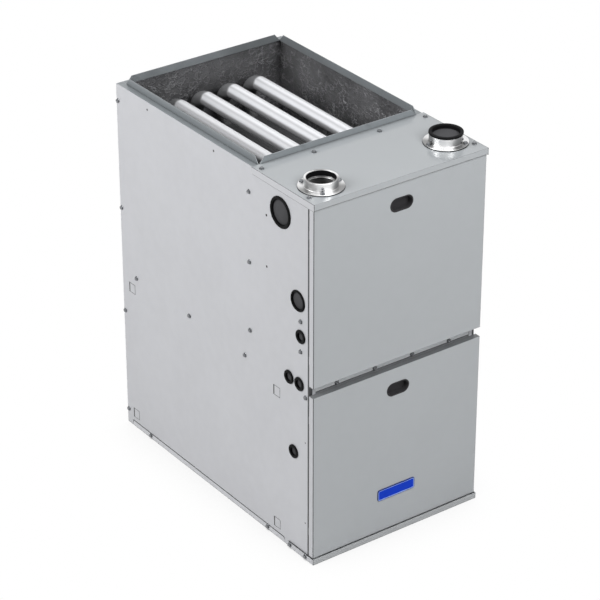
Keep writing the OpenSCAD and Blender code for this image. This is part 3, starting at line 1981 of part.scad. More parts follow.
// Junction box on the left wall behind the power grommet, open towards the wall
module junction_box() {
  color(bright_colour)
    difference() {
      union() {
        slab(
          [-in_x, jbox_y - jbox_w / 2, jbox_z - jbox_h / 2],
          [-in_x + jbox_d, jbox_y + jbox_w / 2, jbox_z + jbox_h / 2]
        );
        slab(
          [-in_x, jbox_y - jbox_tab, jbox_z - jbox_screw_half - jbox_tab / 2],
          [-in_x + sheet_t, jbox_y + jbox_tab, jbox_z + jbox_screw_half + jbox_tab / 2]
        );
      }
      slab(
        [-in_x - over, jbox_y - jbox_w / 2 + sheet_t, jbox_z - jbox_h / 2 + sheet_t],
        [-in_x + jbox_d - sheet_t, jbox_y + jbox_w / 2 - sheet_t, jbox_z + jbox_h / 2 - sheet_t]
      );
      at_left_screws()
        screw_bore();
    }
}

left_side_panel();
right_side_panel();
back_panel();
top_cover();
base_frame();
base_side_rails();
front_sill();
mid_rail();
mid_rail_seal();
blower_deck();
vestibule_panel();
side_wall_liners();
rear_wall_liner();
upper_door();
lower_door();
upper_door_grip();
lower_door_grip();
nameplate();
door_clips();
intake_collar();
vent_collar();
collar_gaskets();
vent_cap();
hole_plugs();
wire_grommets();
casing_screws();
collar_screws();
heat_exchanger_tubes();
tube_spacer();
rear_collector_box();
condensing_coil();
coil_brackets();
cold_header();
burner_box();
burners();
gas_manifold();
gas_orifices();
gas_valve();
gas_valve_knob();
igniter();
flame_sensor();
rollout_switch();
rollout_reset_button();
inducer_housing();
inducer_wheel();
inducer_motor();
vent_pipe();
pressure_switch();
condensate_trap();
blower_housing();
blower_wheel();
blower_motor();
motor_mount();
control_bracket();
control_board();
transformer();
door_switch();
door_switch_plunger();
junction_box();
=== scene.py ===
"""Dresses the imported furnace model: finishes, detailed replacement pieces, light and camera.

Every length is in metres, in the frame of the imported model: Z is up and the doors face -Y.
"""

import json
import logging
import math
from dataclasses import dataclass, field
from enum import Enum
from typing import Any, Callable, Iterable, Sequence

import bmesh
import bpy
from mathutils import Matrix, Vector, noise

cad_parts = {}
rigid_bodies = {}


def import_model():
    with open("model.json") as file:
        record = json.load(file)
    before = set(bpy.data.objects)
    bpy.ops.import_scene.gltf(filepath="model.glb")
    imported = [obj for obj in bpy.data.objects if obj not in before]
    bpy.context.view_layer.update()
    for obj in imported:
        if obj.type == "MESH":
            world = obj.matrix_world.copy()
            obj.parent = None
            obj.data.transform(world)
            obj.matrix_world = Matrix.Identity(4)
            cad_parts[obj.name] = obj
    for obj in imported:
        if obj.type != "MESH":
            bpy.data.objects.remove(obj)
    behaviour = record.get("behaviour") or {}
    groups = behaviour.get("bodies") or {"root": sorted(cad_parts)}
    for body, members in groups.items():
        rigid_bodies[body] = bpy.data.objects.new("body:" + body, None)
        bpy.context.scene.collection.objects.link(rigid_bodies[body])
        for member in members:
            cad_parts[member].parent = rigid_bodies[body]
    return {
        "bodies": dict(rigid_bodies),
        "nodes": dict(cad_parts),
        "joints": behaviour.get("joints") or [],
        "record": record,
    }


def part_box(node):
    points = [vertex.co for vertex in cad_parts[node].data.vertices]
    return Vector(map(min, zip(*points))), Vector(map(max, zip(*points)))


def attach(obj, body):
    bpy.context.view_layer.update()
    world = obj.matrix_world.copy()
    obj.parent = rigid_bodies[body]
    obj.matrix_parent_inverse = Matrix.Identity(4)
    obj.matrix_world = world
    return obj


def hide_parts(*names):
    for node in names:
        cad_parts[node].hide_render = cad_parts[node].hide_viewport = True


LOG = logging.getLogger("furnace")
MM = 0.001

FAR = 9.0
ANYWHERE = (-FAR, FAR)

Colour = tuple[float, float, float]
Span = tuple[float, float]
Loop = list[Vector]
Pairs = Sequence[tuple[float, float]]
Outline = Callable[[float], Pairs]


def metres(*rows: tuple[float, ...]) -> tuple[tuple[float, ...], ...]:
    """Rows of sizes in millimetres, as metres."""
    return tuple(tuple(size * MM for size in row) for row in rows)


# Shader expressions


class Wire:
    """A socket or a number in a shader tree, with the usual operators for maths."""

    def __init__(self, shader: "Shader", value: Any) -> None:
        """Wraps a value."""
        self.shader = shader
        self.value = value

    def _math(self, operation: str, *others: Any, flip: bool = False) -> "Wire":
        """Adds one Math node.

        Args:
            operation: The Math node's operation.
            others: The other operands.
            flip: True where this value is the second operand.

        Returns:
            The node's output.
        """
        operands = [self, *others]
        if flip:
            operands.reverse()
        inputs = dict(enumerate(operands))
        return self.shader.add("ShaderNodeMath", {"operation": operation}, inputs)

    def __add__(self, other: Any) -> "Wire":
        """Sum."""
        return self._math("ADD", other)

    __radd__ = __add__

    def __sub__(self, other: Any) -> "Wire":
        """Difference."""
        return self._math("SUBTRACT", other)

    def __rsub__(self, other: Any) -> "Wire":
        """Difference with this value taken away."""
        return self._math("SUBTRACT", other, flip=True)

    def __mul__(self, other: Any) -> "Wire":
        """Product."""
        return self._math("MULTIPLY", other)

    __rmul__ = __mul__

    def __truediv__(self, other: Any) -> "Wire":
        """Quotient."""
        return self._math("DIVIDE", other)

    def __gt__(self, other: Any) -> "Wire":
        """1 where this value is the larger one."""
        return self._math("GREATER_THAN", other)

    def __lt__(self, other: Any) -> "Wire":
        """1 where this value is the smaller one."""
        return self._math("LESS_THAN", other)

    def __pow__(self, other: Any) -> "Wire":
        """Power."""
        return self._math("POWER", other)

    def larger(self, other: Any) -> "Wire":
        """The larger of two values."""
        return self._math("MAXIMUM", other)

    def angle_from(self, other: Any) -> "Wire":
        """Angle of the direction with this value up and another across, in radians."""
        return self._math("ARCTAN2", other)

    def fraction(self) -> "Wire":
        """What is left above the whole number below."""
        return self._math("FRACT")

    def absolute(self) -> "Wire":
        """Size without sign."""
        return self._math("ABSOLUTE")

    def sine(self) -> "Wire":
        """Sine, in radians."""
        return self._math("SINE")

    def clamp(self) -> "Wire":
        """This value held between 0 and 1."""
        return self.shader.add("ShaderNodeClamp", {}, {0: self})

    def smooth_step(self, low: float, high: float) -> "Wire":
        """A smooth ramp."""
        settings = {"interpolation_type": "SMOOTHSTEP"}
        return self.shader.add("ShaderNodeMapRange", settings, {0: self, 1: low, 2: high})


class Tree:
    """A node tree that is built node by node."""

    def __init__(self, nodes: bpy.types.NodeTree) -> None:
        """Empties a tree."""
        self.tree = nodes
        self.tree.nodes.clear()

    def connect(self, socket: bpy.types.NodeSocket, value: Any) -> None:
        """Sets or links one input socket.

        Args:
            socket: The input.
            value: A Wire, a number or a colour.
        """
        if isinstance(value, Wire):
            value = value.value
        if isinstance(value, bpy.types.NodeSocket):
            self.tree.links.new(value, socket)
        elif isinstance(value, tuple) and socket.type == "RGBA":
            socket.default_value = (*value[:3], 1.0)
        else:
            socket.default_value = value

    def add(
        self, kind: str, settings: dict[str, Any], inputs: dict[Any, Any], out: Any = 0
    ) -> Wire:
        """Adds one node of any type.

        Args:
            kind: The node's type name.
            settings: Properties of the node.
            inputs: Values or links by socket name or number.
            out: Name or number of the output that is wanted.

        Returns:
            That output, or a Wire on the node where it has none.
        """
        made = self.tree.nodes.new(kind)
        for name, value in settings.items():
            setattr(made, name, value)
        for name, value in inputs.items():
            self.connect(made.inputs[name], value)
        return Wire(self, made.outputs[out] if len(made.outputs) else made)

    def mix(self, factor: Wire | float, one: Any, two: Any) -> Wire:
        """A blend of two colours."""
        return self.add("ShaderNodeMix", {"data_type": "RGBA"}, {0: factor, 6: one, 7: two}, 2)

    def shades(self, factor: Wire, colour: Colour, dark: float, light: float) -> Wire:
        """A colour that goes from a darker tone of itself at 0 to a lighter one at 1."""
        return self.mix(factor, tone(colour, dark), tone(colour, light))

    def seen_share(self) -> Wire:
        """1 for rays from the camera, from gloss and through glass, and 0 for the light itself.

        Returns:
            The share as a wire.
        """
        path = self.add("ShaderNodeLightPath", {}, {}, "Is Camera Ray")
        outputs = path.value.node.outputs
        rays = [Wire(self, outputs[name]) for name in ("Is Glossy Ray", "Is Transmission Ray")]
        return path.larger(rays[0]).larger(rays[1])


class Shader(Tree):
    """A material with one Principled shader."""

    def __init__(self, name: str) -> None:
        """Makes an empty material.

        Args:
            name: The material's name.
        """
        self.material = bpy.data.materials.new(name)
        self.material.use_nodes = True
        super().__init__(self.material.node_tree)
        self.principled = self.add("ShaderNodeBsdfPrincipled", {}, {}).value.node
        surface = {"Surface": self.principled.outputs[0]}
        self.output = self.add("ShaderNodeOutputMaterial", {}, surface).value

    def place(self) -> Wire:
        """Position in the object's own frame, in metres."""
        return self.add("ShaderNodeTexCoord", {}, {}, "Object")

    def axes(self) -> tuple[Wire, Wire, Wire]:
        """The three coordinates of the position.

        Returns:
            The wires of X, Y and Z.
        """
        split = self.add("ShaderNodeSeparateXYZ", {}, {0: self.place()})
        outputs = split.value.node.outputs
        return tuple(Wire(self, outputs[i]) for i in range(3))

    def stretched(self, scale: Colour) -> Wire:
        """The position scaled along its axes."""
        inputs = {0: self.place(), 1: scale}
        return self.add("ShaderNodeVectorMath", {"operation": "MULTIPLY"}, inputs)

    def noise(self, scale: float, detail: float = 3.0, vector: Wire | None = None) -> Wire:
        """Noise from 0 to 1."""
        inputs = {"Vector": vector or self.place(), "Scale": scale, "Detail": detail}
        return self.add("ShaderNodeTexNoise", {}, inputs)

    def rounded(self, radius: float) -> Wire:
        """The surface's direction with its edges rounded off."""
        return self.add("ShaderNodeBevel", {"samples": 6}, {"Radius": radius})

    def edge(self, radius: float) -> Wire:
        """1 along sharp edges and 0 elsewhere.

        Args:
            radius: How far the edge reaches in metres.

        Returns:
            The mask.
        """
        flat = self.add("ShaderNodeNewGeometry", {}, {}, "Normal")
        inputs = {0: self.rounded(radius), 1: flat}
        turn = self.add("ShaderNodeVectorMath", {"operation": "DOT_PRODUCT"}, inputs, "Value")
        return (1 - turn).smooth_step(0.02, 0.16)

    def nook(self, reach: float, closed: float = 0.15, free: float = 0.92) -> Wire:
        """1 in the open, falling to 0 in gaps and beside what stands on the surface."""
        view = self.add("ShaderNodeAmbientOcclusion", {"samples": 8}, {"Distance": reach}, "AO")
        return view.smooth_step(closed, free)

    def gap_shaded(self, base: Any, dark: Colour, reach: float, depth: float) -> Wire:
        """A colour with painted shade that darkens it in gaps."""
        return self.mix((1 - self.nook(reach)) * depth, base, dark)

    def bump(self, height: Wire, depth: float, strength: float = 1.0, radius: float = 0.0) -> None:
        """Raises the surface by a height map.

        Args:
            height: The height, from 0 to 1.
            depth: How far 1 stands above 0, in metres.
            strength: Share of the effect.
            radius: Radius that sharp edges are rounded to, in metres.
        """
        inputs = {"Height": height, "Distance": depth, "Strength": strength}
        if radius:
            inputs["Normal"] = self.rounded(radius)
        self.set(Normal=self.add("ShaderNodeBump", {}, inputs))

    def set(self, **values: Any) -> None:
        """Sets inputs of the Principled shader."""
        for name, value in values.items():
            self.connect(self.principled.inputs[name.replace("_", " ")], value)


def tone(colour: Colour, factor: float) -> Colour:
    """A colour made lighter or darker."""
    return tuple(min(1.0, c * factor) for c in colour)


# Finishes


@dataclass(frozen=True)
class Finish:
    """A named procedural material."""

    name: str

    def material(self) -> bpy.types.Material:
        """Builds the material.

        Returns:
            The material.
        """
        shader = Shader(self.name)
        self.fill(shader)
        return shader.material

    def fill(self, shader: Shader) -> None:
        """Sets the inputs of the material's shader."""
        raise NotImplementedError


@dataclass(frozen=True)
class GapShade:
    """Painted shade in a finish's gaps, as a darker tone of its own colour."""

    tone: float
    reach: float
    share: float

    def over(self, shader: Shader, base: Wire, colour: Colour) -> Wire:
        """A base colour with this painted shade on it."""
        return shader.gap_shaded(base, tone(colour, self.tone), self.reach, self.share)


def uneven(grain: Wire, roughness: float, spread: float) -> Wire:
    """A roughness that a grain varies by a spread."""
    return grain * spread + (roughness - spread / 2)


@dataclass(frozen=True)
class Paint:
    """The painted face that all the casing's sheets share."""

    colour: Colour
    cloud: float = 0.035
    line: float = 0.42
    reach: float = 0.0055
    grain: float = 0.00006
    wide_scale: float = 5.0
    close_scale: float = 42.0
    wide_share: float = 0.6
    cloud_edges: Span = (0.28, 0.72)
    # Painted shade: a dark line along sharp edges, then darker gaps
    line_w: float = 0.0011
    line_tone: float = 0.34
    shade_tone: float = 0.16
    shade_share: float = 0.85
    peel_scale: float = 520.0
    relief: Span = (0.35, 0.0006)

    def face(self, shader: Shader) -> Wire:
        """The paint's colour with its clouds, a painted shade line along its edges and painted
        shade in its gaps.

        Args:
            shader: The shader that it is mixed in.

        Returns:
            The colour.
        """
        wide = shader.noise(self.wide_scale, 4.0)
        close = shader.noise(self.close_scale, 4.0)
        value = wide * self.wide_share + close * (1 - self.wide_share)
        value = value.smooth_step(*self.cloud_edges)
        tint = shader.shades(value, self.colour, 1 - self.cloud, 1 + self.cloud)
        # Painted shade: a dark line along edges and folds, then darker gaps
        line = shader.edge(self.line_w) * self.line
        lined = shader.mix(line, tint, tone(self.colour, self.line_tone))
        return shader.gap_shaded(lined, tone(self.colour, self.shade_tone), self.reach, self.shade_share)

    def peel(self, shader: Shader) -> None:
        """Adds the paint's fine unevenness."""
        shader.bump(shader.noise(self.peel_scale, 2.0), self.grain, *self.relief)


@dataclass(frozen=True)
class Band:
    """A box-shaped part of a sheet painted in another colour, the same at the left and the right;
    every band here is painted light and shade: shade lines, and lighter and darker copies of the
    paint for faces that the lamps light differently.
    """

    colour: Colour
    share: float
    across: Span = ANYWHERE
    along: Span = ANYWHERE
    up: Span = ANYWHERE

    def laid(self, shader: Shader, base: Wire) -> Wire:
        """The sheet's colour with this band on it.

        Args:
            shader: The shader that it is mixed in.
            base: The sheet's colour.

        Returns:
            The colour.
        """
        x, y, z = shader.axes()
        mask: Wire | float = self.share
        for place, (low, high) in ((x.absolute(), self.across), (y, self.along), (z, self.up)):
            if low > -FAR:
                mask = (place > low) * mask
            if high < FAR:
                mask = (place < high) * mask
        return shader.mix(mask, base, self.colour)


@dataclass(frozen=True)
class HoleShade:
    """A ring of painted shade round a small drilled hole in a side wall, so that the hole reads
    dark.
    """

    along: float
    up: float
    radius: float
    colour: Colour = (0.03, 0.03, 0.032)

    def laid(self, shader: Shader, base: Wire) -> Wire:
        """The sheet's colour with this ring of painted shade on it.

        Args:
            shader: The shader that it is mixed in.
            base: The sheet's colour.

        Returns:
            The colour.
        """
        _, y, z = shader.axes()
        away = (y - self.along) ** 2.0 + (z - self.up) ** 2.0
        return shader.mix(away < self.radius**2, base, self.colour)


@dataclass(frozen=True)
class PaintedSheet(Finish):
    """Smooth glossy paint on sheet metal; above a height the metal is bare."""

    paint: Paint
    roughness: float = 0.34
    bands: tuple[Band, ...] = ()
    bare: Colour = (0.2, 0.2, 0.2)
    bare_from: float = FAR
    grain_scale: float = 260.0
    spread: float = 0.08
    metallic: float = 0.4
    coat: Span = (0.22, 0.12)
    gap_shade: GapShade = GapShade(0.2, 0.006, 0.8)

    def fill(self, shader: Shader) -> None:
        """Sets the inputs of the material's shader.

        Args:
            shader: The shader.
        """
        grain = shader.noise(self.grain_scale, 2.0)
        _, _, z = shader.axes()
        mask = z > self.bare_from
        metal = self.gap_shade.over(shader, spangled(shader, self.bare), self.bare)
        painted = self.paint.face(shader)
        for band in self.bands:
            painted = band.laid(shader, painted)
        shader.set(
            Base_Color=shader.mix(mask, painted, metal),
            Roughness=uneven(grain, self.roughness, self.spread),
            Metallic=mask * self.metallic,
            Coat_Weight=self.coat[0],
            Coat_Roughness=self.coat[1],
        )
        self.paint.peel(shader)


SPANGLE_SCALE = 260.0
SMEAR_SCALE = 12.0
SPANGLE_SHARE = 0.4
SPANGLE_TONES = (0.91, 1.09)


def spangled(shader: Shader, colour: Colour) -> Wire:
    """The colour of galvanised sheet, with its crystal spangle and smears.

    Args:
        shader: The shader that it is mixed in.
        colour: The middle colour.

    Returns:
        The colour.
    """
    inputs = {"Vector": shader.place(), "Scale": SPANGLE_SCALE}
    cells = shader.add("ShaderNodeTexVoronoi", {}, inputs, "Color")
    value = shader.add("ShaderNodeRGBToBW", {}, {0: cells})
    mixed = value * SPANGLE_SHARE + shader.noise(SMEAR_SCALE, 5.0) * (1 - SPANGLE_SHARE)
    return shader.shades(mixed, colour, *SPANGLE_TONES)


@dataclass(frozen=True)
class PanelSheet(Finish):
    """Painted side sheet: bare on its folded top, with painted shade in its scored lines and on its
    post.
    """

    paint: Paint
    bare: Colour
    bands: tuple[Band | HoleShade, ...]
    strip_z: float = 0.8612
    wall_x: float = 0.22225
    rear_y: float = 0.3663
    strip_in: float = 0.0009
    grain_scale: float = 240.0
    roughness: float = 0.36
    spread: float = 0.08
    metallic: float = 0.4
    coat: Span = (0.15, 0.2)
    gap_shade: GapShade = GapShade(0.18, 0.006, 0.85)

    def fill(self, shader: Shader) -> None:
        """Sets the inputs of the material's shader.

        Args:
            shader: The shader.
        """
        x, y, z = shader.axes()
        grain = shader.noise(self.grain_scale, 2.0)
        inside = (x.absolute() < self.wall_x - self.strip_in) * (y < self.rear_y - self.strip_in)
        mask = (inside * (z > self.strip_z)).clamp()
        metal = self.gap_shade.over(shader, spangled(shader, self.bare), self.bare)
        base = shader.mix(mask, self.paint.face(shader), metal)
        for band in self.bands:
            base = band.laid(shader, base)
        shader.set(
            Base_Color=base,
            Roughness=uneven(grain, self.roughness, self.spread),
            Metallic=mask * self.metallic,
            Coat_Weight=self.coat[0],
            Coat_Roughness=self.coat[1],
        )
        self.paint.peel(shader)


@dataclass(frozen=True)
class BareSheet(Finish):
    """Galvanised sheet with a spangle."""

    colour: Colour
    metallic: float = 0.75
    roughness: float = 0.43
    spread: float = 0.14
    grain_scale: float = 180.0
    swell_scale: float = 22.0
    swell: tuple[float, ...] = (0.00006, 0.4, 0.0005)
    gap_shade: GapShade = GapShade(0.2, 0.008, 0.75)

    def fill(self, shader: Shader) -> None:
        """Sets the inputs of the material's shader.

        Args:
            shader: The shader.
        """
        grain = shader.noise(self.grain_scale, 3.0)
        base = self.gap_shade.over(shader, spangled(shader, self.colour), self.colour)
        rough = uneven(grain, self.roughness, self.spread)
        shader.set(Base_Color=base, Roughness=rough, Metallic=self.metallic)
        shader.bump(shader.noise(self.swell_scale, 4.0), *self.swell)


@dataclass(frozen=True)
class FoilFacing(Finish):
    """Grey foil facing with fine creases and folds, painted highlights along them and painted shade
    in their hollows.
    """

    colour: Colour
    roughness: float = 0.44
    spread: float = 0.2
    metallic: float = 0.45
    wander_scale: float = 14.0
    wander_edges: Span = (0.3, 0.7)
    wander_tones: Span = (0.78, 1.22)
    crease_scale: Colour = (62.0, 62.0, 105.0)
    crease_power: float = 44.0
    fold_scale: float = 24.0
    fold_power: float = 70.0
    fine_scale: float = 620.0
    fine_share: float = 0.36
    broken_scale: float = 30.0
    broken_edges: Span = (0.36, 0.6)
    hollow_shift: float = 1.07
    hollow_share: float = 0.8
    hollow_tone: float = 0.3
    glint_share: float = 0.9
    glint_tone: float = 2.9
    relief: tuple[float, ...] = (0.9, 0.7, 0.14)
    deep: float = 0.0018
    gap_shade: GapShade = GapShade(0.2, 0.06, 0.85)

    def fill(self, shader: Shader) -> None:
        """Sets the inputs of the material's shader.

        Args:
            shader: The shader.
        """
        wander = shader.noise(self.wander_scale, 3.0)
        crease = shader.noise(1.0, 6.0, shader.stretched(self.crease_scale))
        sharp = (1 - (crease * 2 - 1).absolute()) ** self.crease_power
        folds = (1 - (shader.noise(self.fold_scale, 5.0) * 2 - 1).absolute()) ** self.fold_power
        fine = shader.noise(self.fine_scale, 3.0)
        broken = shader.noise(self.broken_scale, 3.0).smooth_step(*self.broken_edges)
        # Painted light: highlights along the creases and folds, and shade in the hollows beside
        # them
        hollow = (1 - (crease * 2 - self.hollow_shift).absolute()) ** self.crease_power
        light = (sharp + folds) * broken * self.glint_share
        value = (light + (fine - 0.5) * self.fine_share).clamp()
        wander = wander.smooth_step(*self.wander_edges)
        shade = shader.shades(wander, self.colour, *self.wander_tones)
        dark = (hollow * broken * self.hollow_share).clamp()
        base = shader.mix(dark, shade, tone(self.colour, self.hollow_tone))
        base = shader.mix(value, base, tone(self.colour, self.glint_tone))
        base = self.gap_shade.over(shader, base, self.colour)
        rough = uneven(fine, self.roughness, self.spread)
        shader.set(Base_Color=base, Roughness=rough, Metallic=self.metallic)
        fold, edge, grain = self.relief
        shader.bump(folds * fold + sharp * edge + fine * grain, self.deep, 1.0)


@dataclass(frozen=True)
class BrightMetal(Finish):
    """Bright metal with drawn or turned lines along one axis, and painted shade in its gaps."""

    colour: Colour
    roughness: float
    lines: Colour
    line_depth: float = 0.00002
    metallic: float = 1.0
    contrast: float = 0.12
    gap: float = 0.7
    reach: float = 0.008
    shade_tone: float = 0.12
    smear_scale: float = 18.0
    drawn_share: float = 0.6
    spreads: Span = (0.10, 0.06)
    relief: Span = (0.6, 0.0004)

    def fill(self, shader: Shader) -> None:
        """Sets the inputs of the material's shader.

        Args:
            shader: The shader.
        """
        drawn = shader.noise(1.0, 4.0, shader.stretched(self.lines))
        smear = shader.noise(self.smear_scale, 3.0)
        value = drawn * self.drawn_share + smear * (1 - self.drawn_share)
        base = shader.shades(value, self.colour, 1 - self.contrast, 1 + self.contrast)
        # Painted shade in gaps
        base = shader.gap_shaded(base, tone(self.colour, self.shade_tone), self.reach, self.gap)
        wide, close = self.spreads
        rough = drawn * wide + smear * close + (self.roughness - (wide + close) / 2)
        shader.set(Base_Color=base, Roughness=rough, Metallic=self.metallic)
        shader.bump(drawn, self.line_depth, *self.relief)


@dataclass(frozen=True)
class TurnedMetal(Finish):
    """Bright metal turned on a lathe, with painted reflections: the fans of light and dark that
    turning lines show.
    """

    colour: Colour
    axis: tuple[float, float]
    phase: float
    roughness: float = 0.33
    spread: float = 0.12
    metallic: float = 0.9
    smear_scale: float = 20.0
    smear: float = 1.2
    fan_count: int = 3
    lines: Colour = (12.0, 12.0, 900.0)
    fan_share: float = 0.78
    fan_edges: Span = (0.1, 0.85)
    fan_tone: float = 0.34
    relief: tuple[float, ...] = (0.00001, 0.5, 0.0005)
    gap_shade: GapShade = GapShade(0.05, 0.006, 0.9)

    def fill(self, shader: Shader) -> None:
        """Sets the inputs of the material's shader.

        Args:
            shader: The shader.
        """
        x, y, _ = shader.axes()
        turn = (y - self.axis[1]).angle_from(x - self.axis[0])
        smear = shader.noise(self.smear_scale, 2.0)
        # Painted reflection: fans of light and dark round the axis, turned by the phase
        wave = turn * self.fan_count + self.phase + smear * self.smear
        fans = wave.sine() * 0.5 + 0.5
        rings = shader.noise(1.0, 3.0, shader.stretched(self.lines))
        value = fans * self.fan_share + rings * (1 - self.fan_share)
        value = value.smooth_step(*self.fan_edges)
        base = shader.mix(value, tone(self.colour, self.fan_tone), self.colour)
        base = self.gap_shade.over(shader, base, self.colour)
        rough = uneven(rings, self.roughness, self.spread)
        shader.set(Base_Color=base, Roughness=rough, Metallic=self.metallic)
        shader.bump(rings, *self.relief)


@dataclass(frozen=True)
class TubeSteel(Finish):
    """Drawn tube: bright, with painted reflections and shade: a soft grey band along it, a darker
    lower flank, dark lower passes and dark rear bends where it turns down.
    """

    colour: Colour
    pitch: float
    middle_z: float
    radius: float
    rear_y: float
    roughness: float = 0.37
    spread: float = 0.14
    metallic: float = 0.2
    lines: Colour = (240.0, 5.0, 240.0)
    whole_pitches: int = 12
    band_shift: float = 0.6
    band_fall: float = 3.4
    band: float = 0.42
    flank_edges: Span = (0.4, 0.02)
    flank: float = 0.6
    low_edge: float = 1.1
    low: float = 0.94
    bend_len: float = 0.010
    bend: float = 0.84
    speckle: float = 0.08
    dark_tone: float = 0.05
    relief: Span = (0.00003, 0.5)
    gap_shade: GapShade = GapShade(0.02, 0.04, 0.8)

    def fill(self, shader: Shader) -> None:
        """Sets the inputs of the material's shader.

        Args:
            shader: The shader.
        """
        x, y, z = shader.axes()
        fraction = (x / self.pitch + self.whole_pitches).fraction()
        across = (fraction - 0.5) * (self.pitch / self.radius)
        drawn = shader.noise(1.0, 4.0, shader.stretched(self.lines))
        # Painted light: a grey reflected band, a shaded lower flank, shaded lower passes, and dark
        # bends that stand in for the dark surroundings they reflect
        grey = (1 - (across + self.band_shift).absolute() * self.band_fall).clamp() * self.band
        middle, r = self.middle_z, self.radius
        flank = z.smooth_step(*(middle + r * share for share in self.flank_edges)) * self.flank
        low = z.smooth_step(middle, middle - r * self.low_edge) * self.low
        bend_dark = y.smooth_step(self.rear_y, self.rear_y + self.bend_len) * self.bend
        dark = grey.larger(flank).larger(low).larger(bend_dark) + (drawn - 0.5) * self.speckle
        base = shader.mix(dark.clamp(), self.colour, tone(self.colour, self.dark_tone))
        base = self.gap_shade.over(shader, base, self.colour)
        rough = uneven(drawn, self.roughness, self.spread)
        shader.set(Base_Color=base, Roughness=rough, Metallic=self.metallic)
        shader.bump(drawn, *self.relief)


@dataclass(frozen=True)
class MouldedPiece(Finish):
    """Moulded rubber or plastic with a fine grain, a painted highlight along its sharp edges and
    painted shade in its gaps.
    """

    colour: Colour
    roughness: float
    grain: float = 900.0
    depth: float = 0.00008
    coat: float = 0.0
    gloss: float = 0.5
    coat_roughness: float = 0.12
    spread: float = 0.12
    cloud_scale: float = 24.0
    cloud_share: float = 0.7
    cloud_tones: Span = (0.82, 1.22)
    sheen_w: float = 0.0006
    edge_sheen: float = 0.5
    sheen_tone: float = 1.9
    relief: Span = (0.6, 0.0005)
    gap_shade: GapShade = GapShade(0.3, 0.006, 0.6)

    def fill(self, shader: Shader) -> None:
        """Sets the inputs of the material's shader.

        Args:
            shader: The shader.
        """
        fine = shader.noise(self.grain, 2.0)
        cloud = shader.noise(self.cloud_scale, 3.0)
        value = cloud * self.cloud_share + fine * (1 - self.cloud_share)
        base = shader.shades(value, self.colour, *self.cloud_tones)
        # Painted highlight: lighter along sharp edges
        edge_sheen = shader.edge(self.sheen_w) * self.edge_sheen
        sheened = shader.mix(edge_sheen, base, tone(self.colour, self.sheen_tone))
        shader.set(
            Base_Color=self.gap_shade.over(shader, sheened, self.colour),
            Roughness=uneven(cloud, self.roughness, self.spread),
            Metallic=0.0,
            Specular_IOR_Level=self.gloss,
            Coat_Weight=self.coat,
            Coat_Roughness=self.coat_roughness,
        )
        shader.bump(fine, self.depth, *self.relief)


@dataclass(frozen=True)
class BorderedPlate(Finish):
    """Plate with a light line along its border and a dark outer edge of painted shade."""

    field_colour: Colour
    border_colour: Colour
    centre: Vector
    half_w: float
    half_h: float
    corner_r: float
    line: Span = (1.1 * MM, 3.0 * MM)
    roughness: float = 0.37
    spread: float = 0.06
    gloss: float = 0.08
    cloud_scale: float = 60.0
    cloud_tones: Span = (0.92, 1.08)
    edge_w: float = 0.8
    edge: float = 0.8
    edge_tone: float = 0.15
    grain_scale: float = 800.0
    relief: Span = (0.00003, 0.3)

    def fill(self, shader: Shader) -> None:
        """Sets the inputs of the material's shader.

        Args:
            shader: The shader.
        """
        x, _, z = shader.axes()
        along = ((x - self.centre.x).absolute() - (self.half_w - self.corner_r)).larger(0.0)
        up = ((z - self.centre.z).absolute() - (self.half_h - self.corner_r)).larger(0.0)
        inside = self.corner_r - (along**2.0 + up**2.0) ** 0.5
        mask = ((inside > self.line[0]) * (inside < self.line[1])).clamp()
        cloud = shader.noise(self.cloud_scale, 3.0)
        field_mix = shader.shades(cloud, self.field_colour, *self.cloud_tones)
        # Painted shade along the outer edge
        outer = (inside < self.line[0] * self.edge_w) * self.edge
        base = shader.mix(mask, field_mix, self.border_colour)
        base = shader.mix(outer, base, tone(self.field_colour, self.edge_tone))
        rough = uneven(cloud, self.roughness, self.spread)
        shader.set(Base_Color=base, Roughness=rough, Specular_IOR_Level=self.gloss)
        shader.bump(shader.noise(self.grain_scale, 2.0), *self.relief)


# Meshes


class Body(Enum):
    """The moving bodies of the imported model."""

    CASING = "casing"
    UPPER_DOOR = "upper_door"
    LOWER_DOOR = "lower_door"
    VENT_CAP = "vent_cap"
    VALVE_KNOB = "gas_valve_knob"
    RESET_BUTTON = "rollout_reset_button"
    INDUCER_WHEEL = "inducer_wheel"
    BLOWER_WHEEL = "blower_wheel"
    DOOR_PLUNGER = "door_switch_plunger"


class Facing(Enum):
    """The way a piece faces: its sideways and upward directions."""

    FRONT = ((1, 0, 0), (0, 0, 1))
    LEFT = ((0, -1, 0), (0, 0, 1))
    RIGHT = ((0, 1, 0), (0, 0, 1))
    TOP = ((1, 0, 0), (0, 1, 0))


@dataclass(frozen=True)
class Seat:
    """Where a piece sits and which way it faces."""

    centre: Vector
    facing: Facing
    turn: float = 0.0

    def at(self, across: float, up: float, out: float) -> Vector:
        """A point given in the piece's own directions.

        Args:
            across: Distance sideways.
            up: Distance upward.
            out: Distance outward.

        Returns:
            The point in the model's frame.
        """
        side, rise = (Vector(v) for v in self.facing.value)
        c, s = math.cos(self.turn), math.sin(self.turn)
        turned_across, turned_up = across * c - up * s, across * s + up * c
        return self.centre + side * turned_across + rise * turned_up + side.cross(rise) * out


def round_outline(radius: float, count: int = 96) -> Outline:
    """A circle that can be inset.

    Args:
        radius: Its radius.
        count: Number of points.

    Returns:
        A function from an inset to the points.
    """

    def points(inset: float) -> Pairs:
        """The circle's points at an inset.

        Args:
            inset: How far the circle lies inside the given one.

        Returns:
            The points.
        """
        r = radius - inset
        angles = [2 * math.pi * i / count for i in range(count)]
        return [(r * math.cos(a), r * math.sin(a)) for a in angles]

    return points


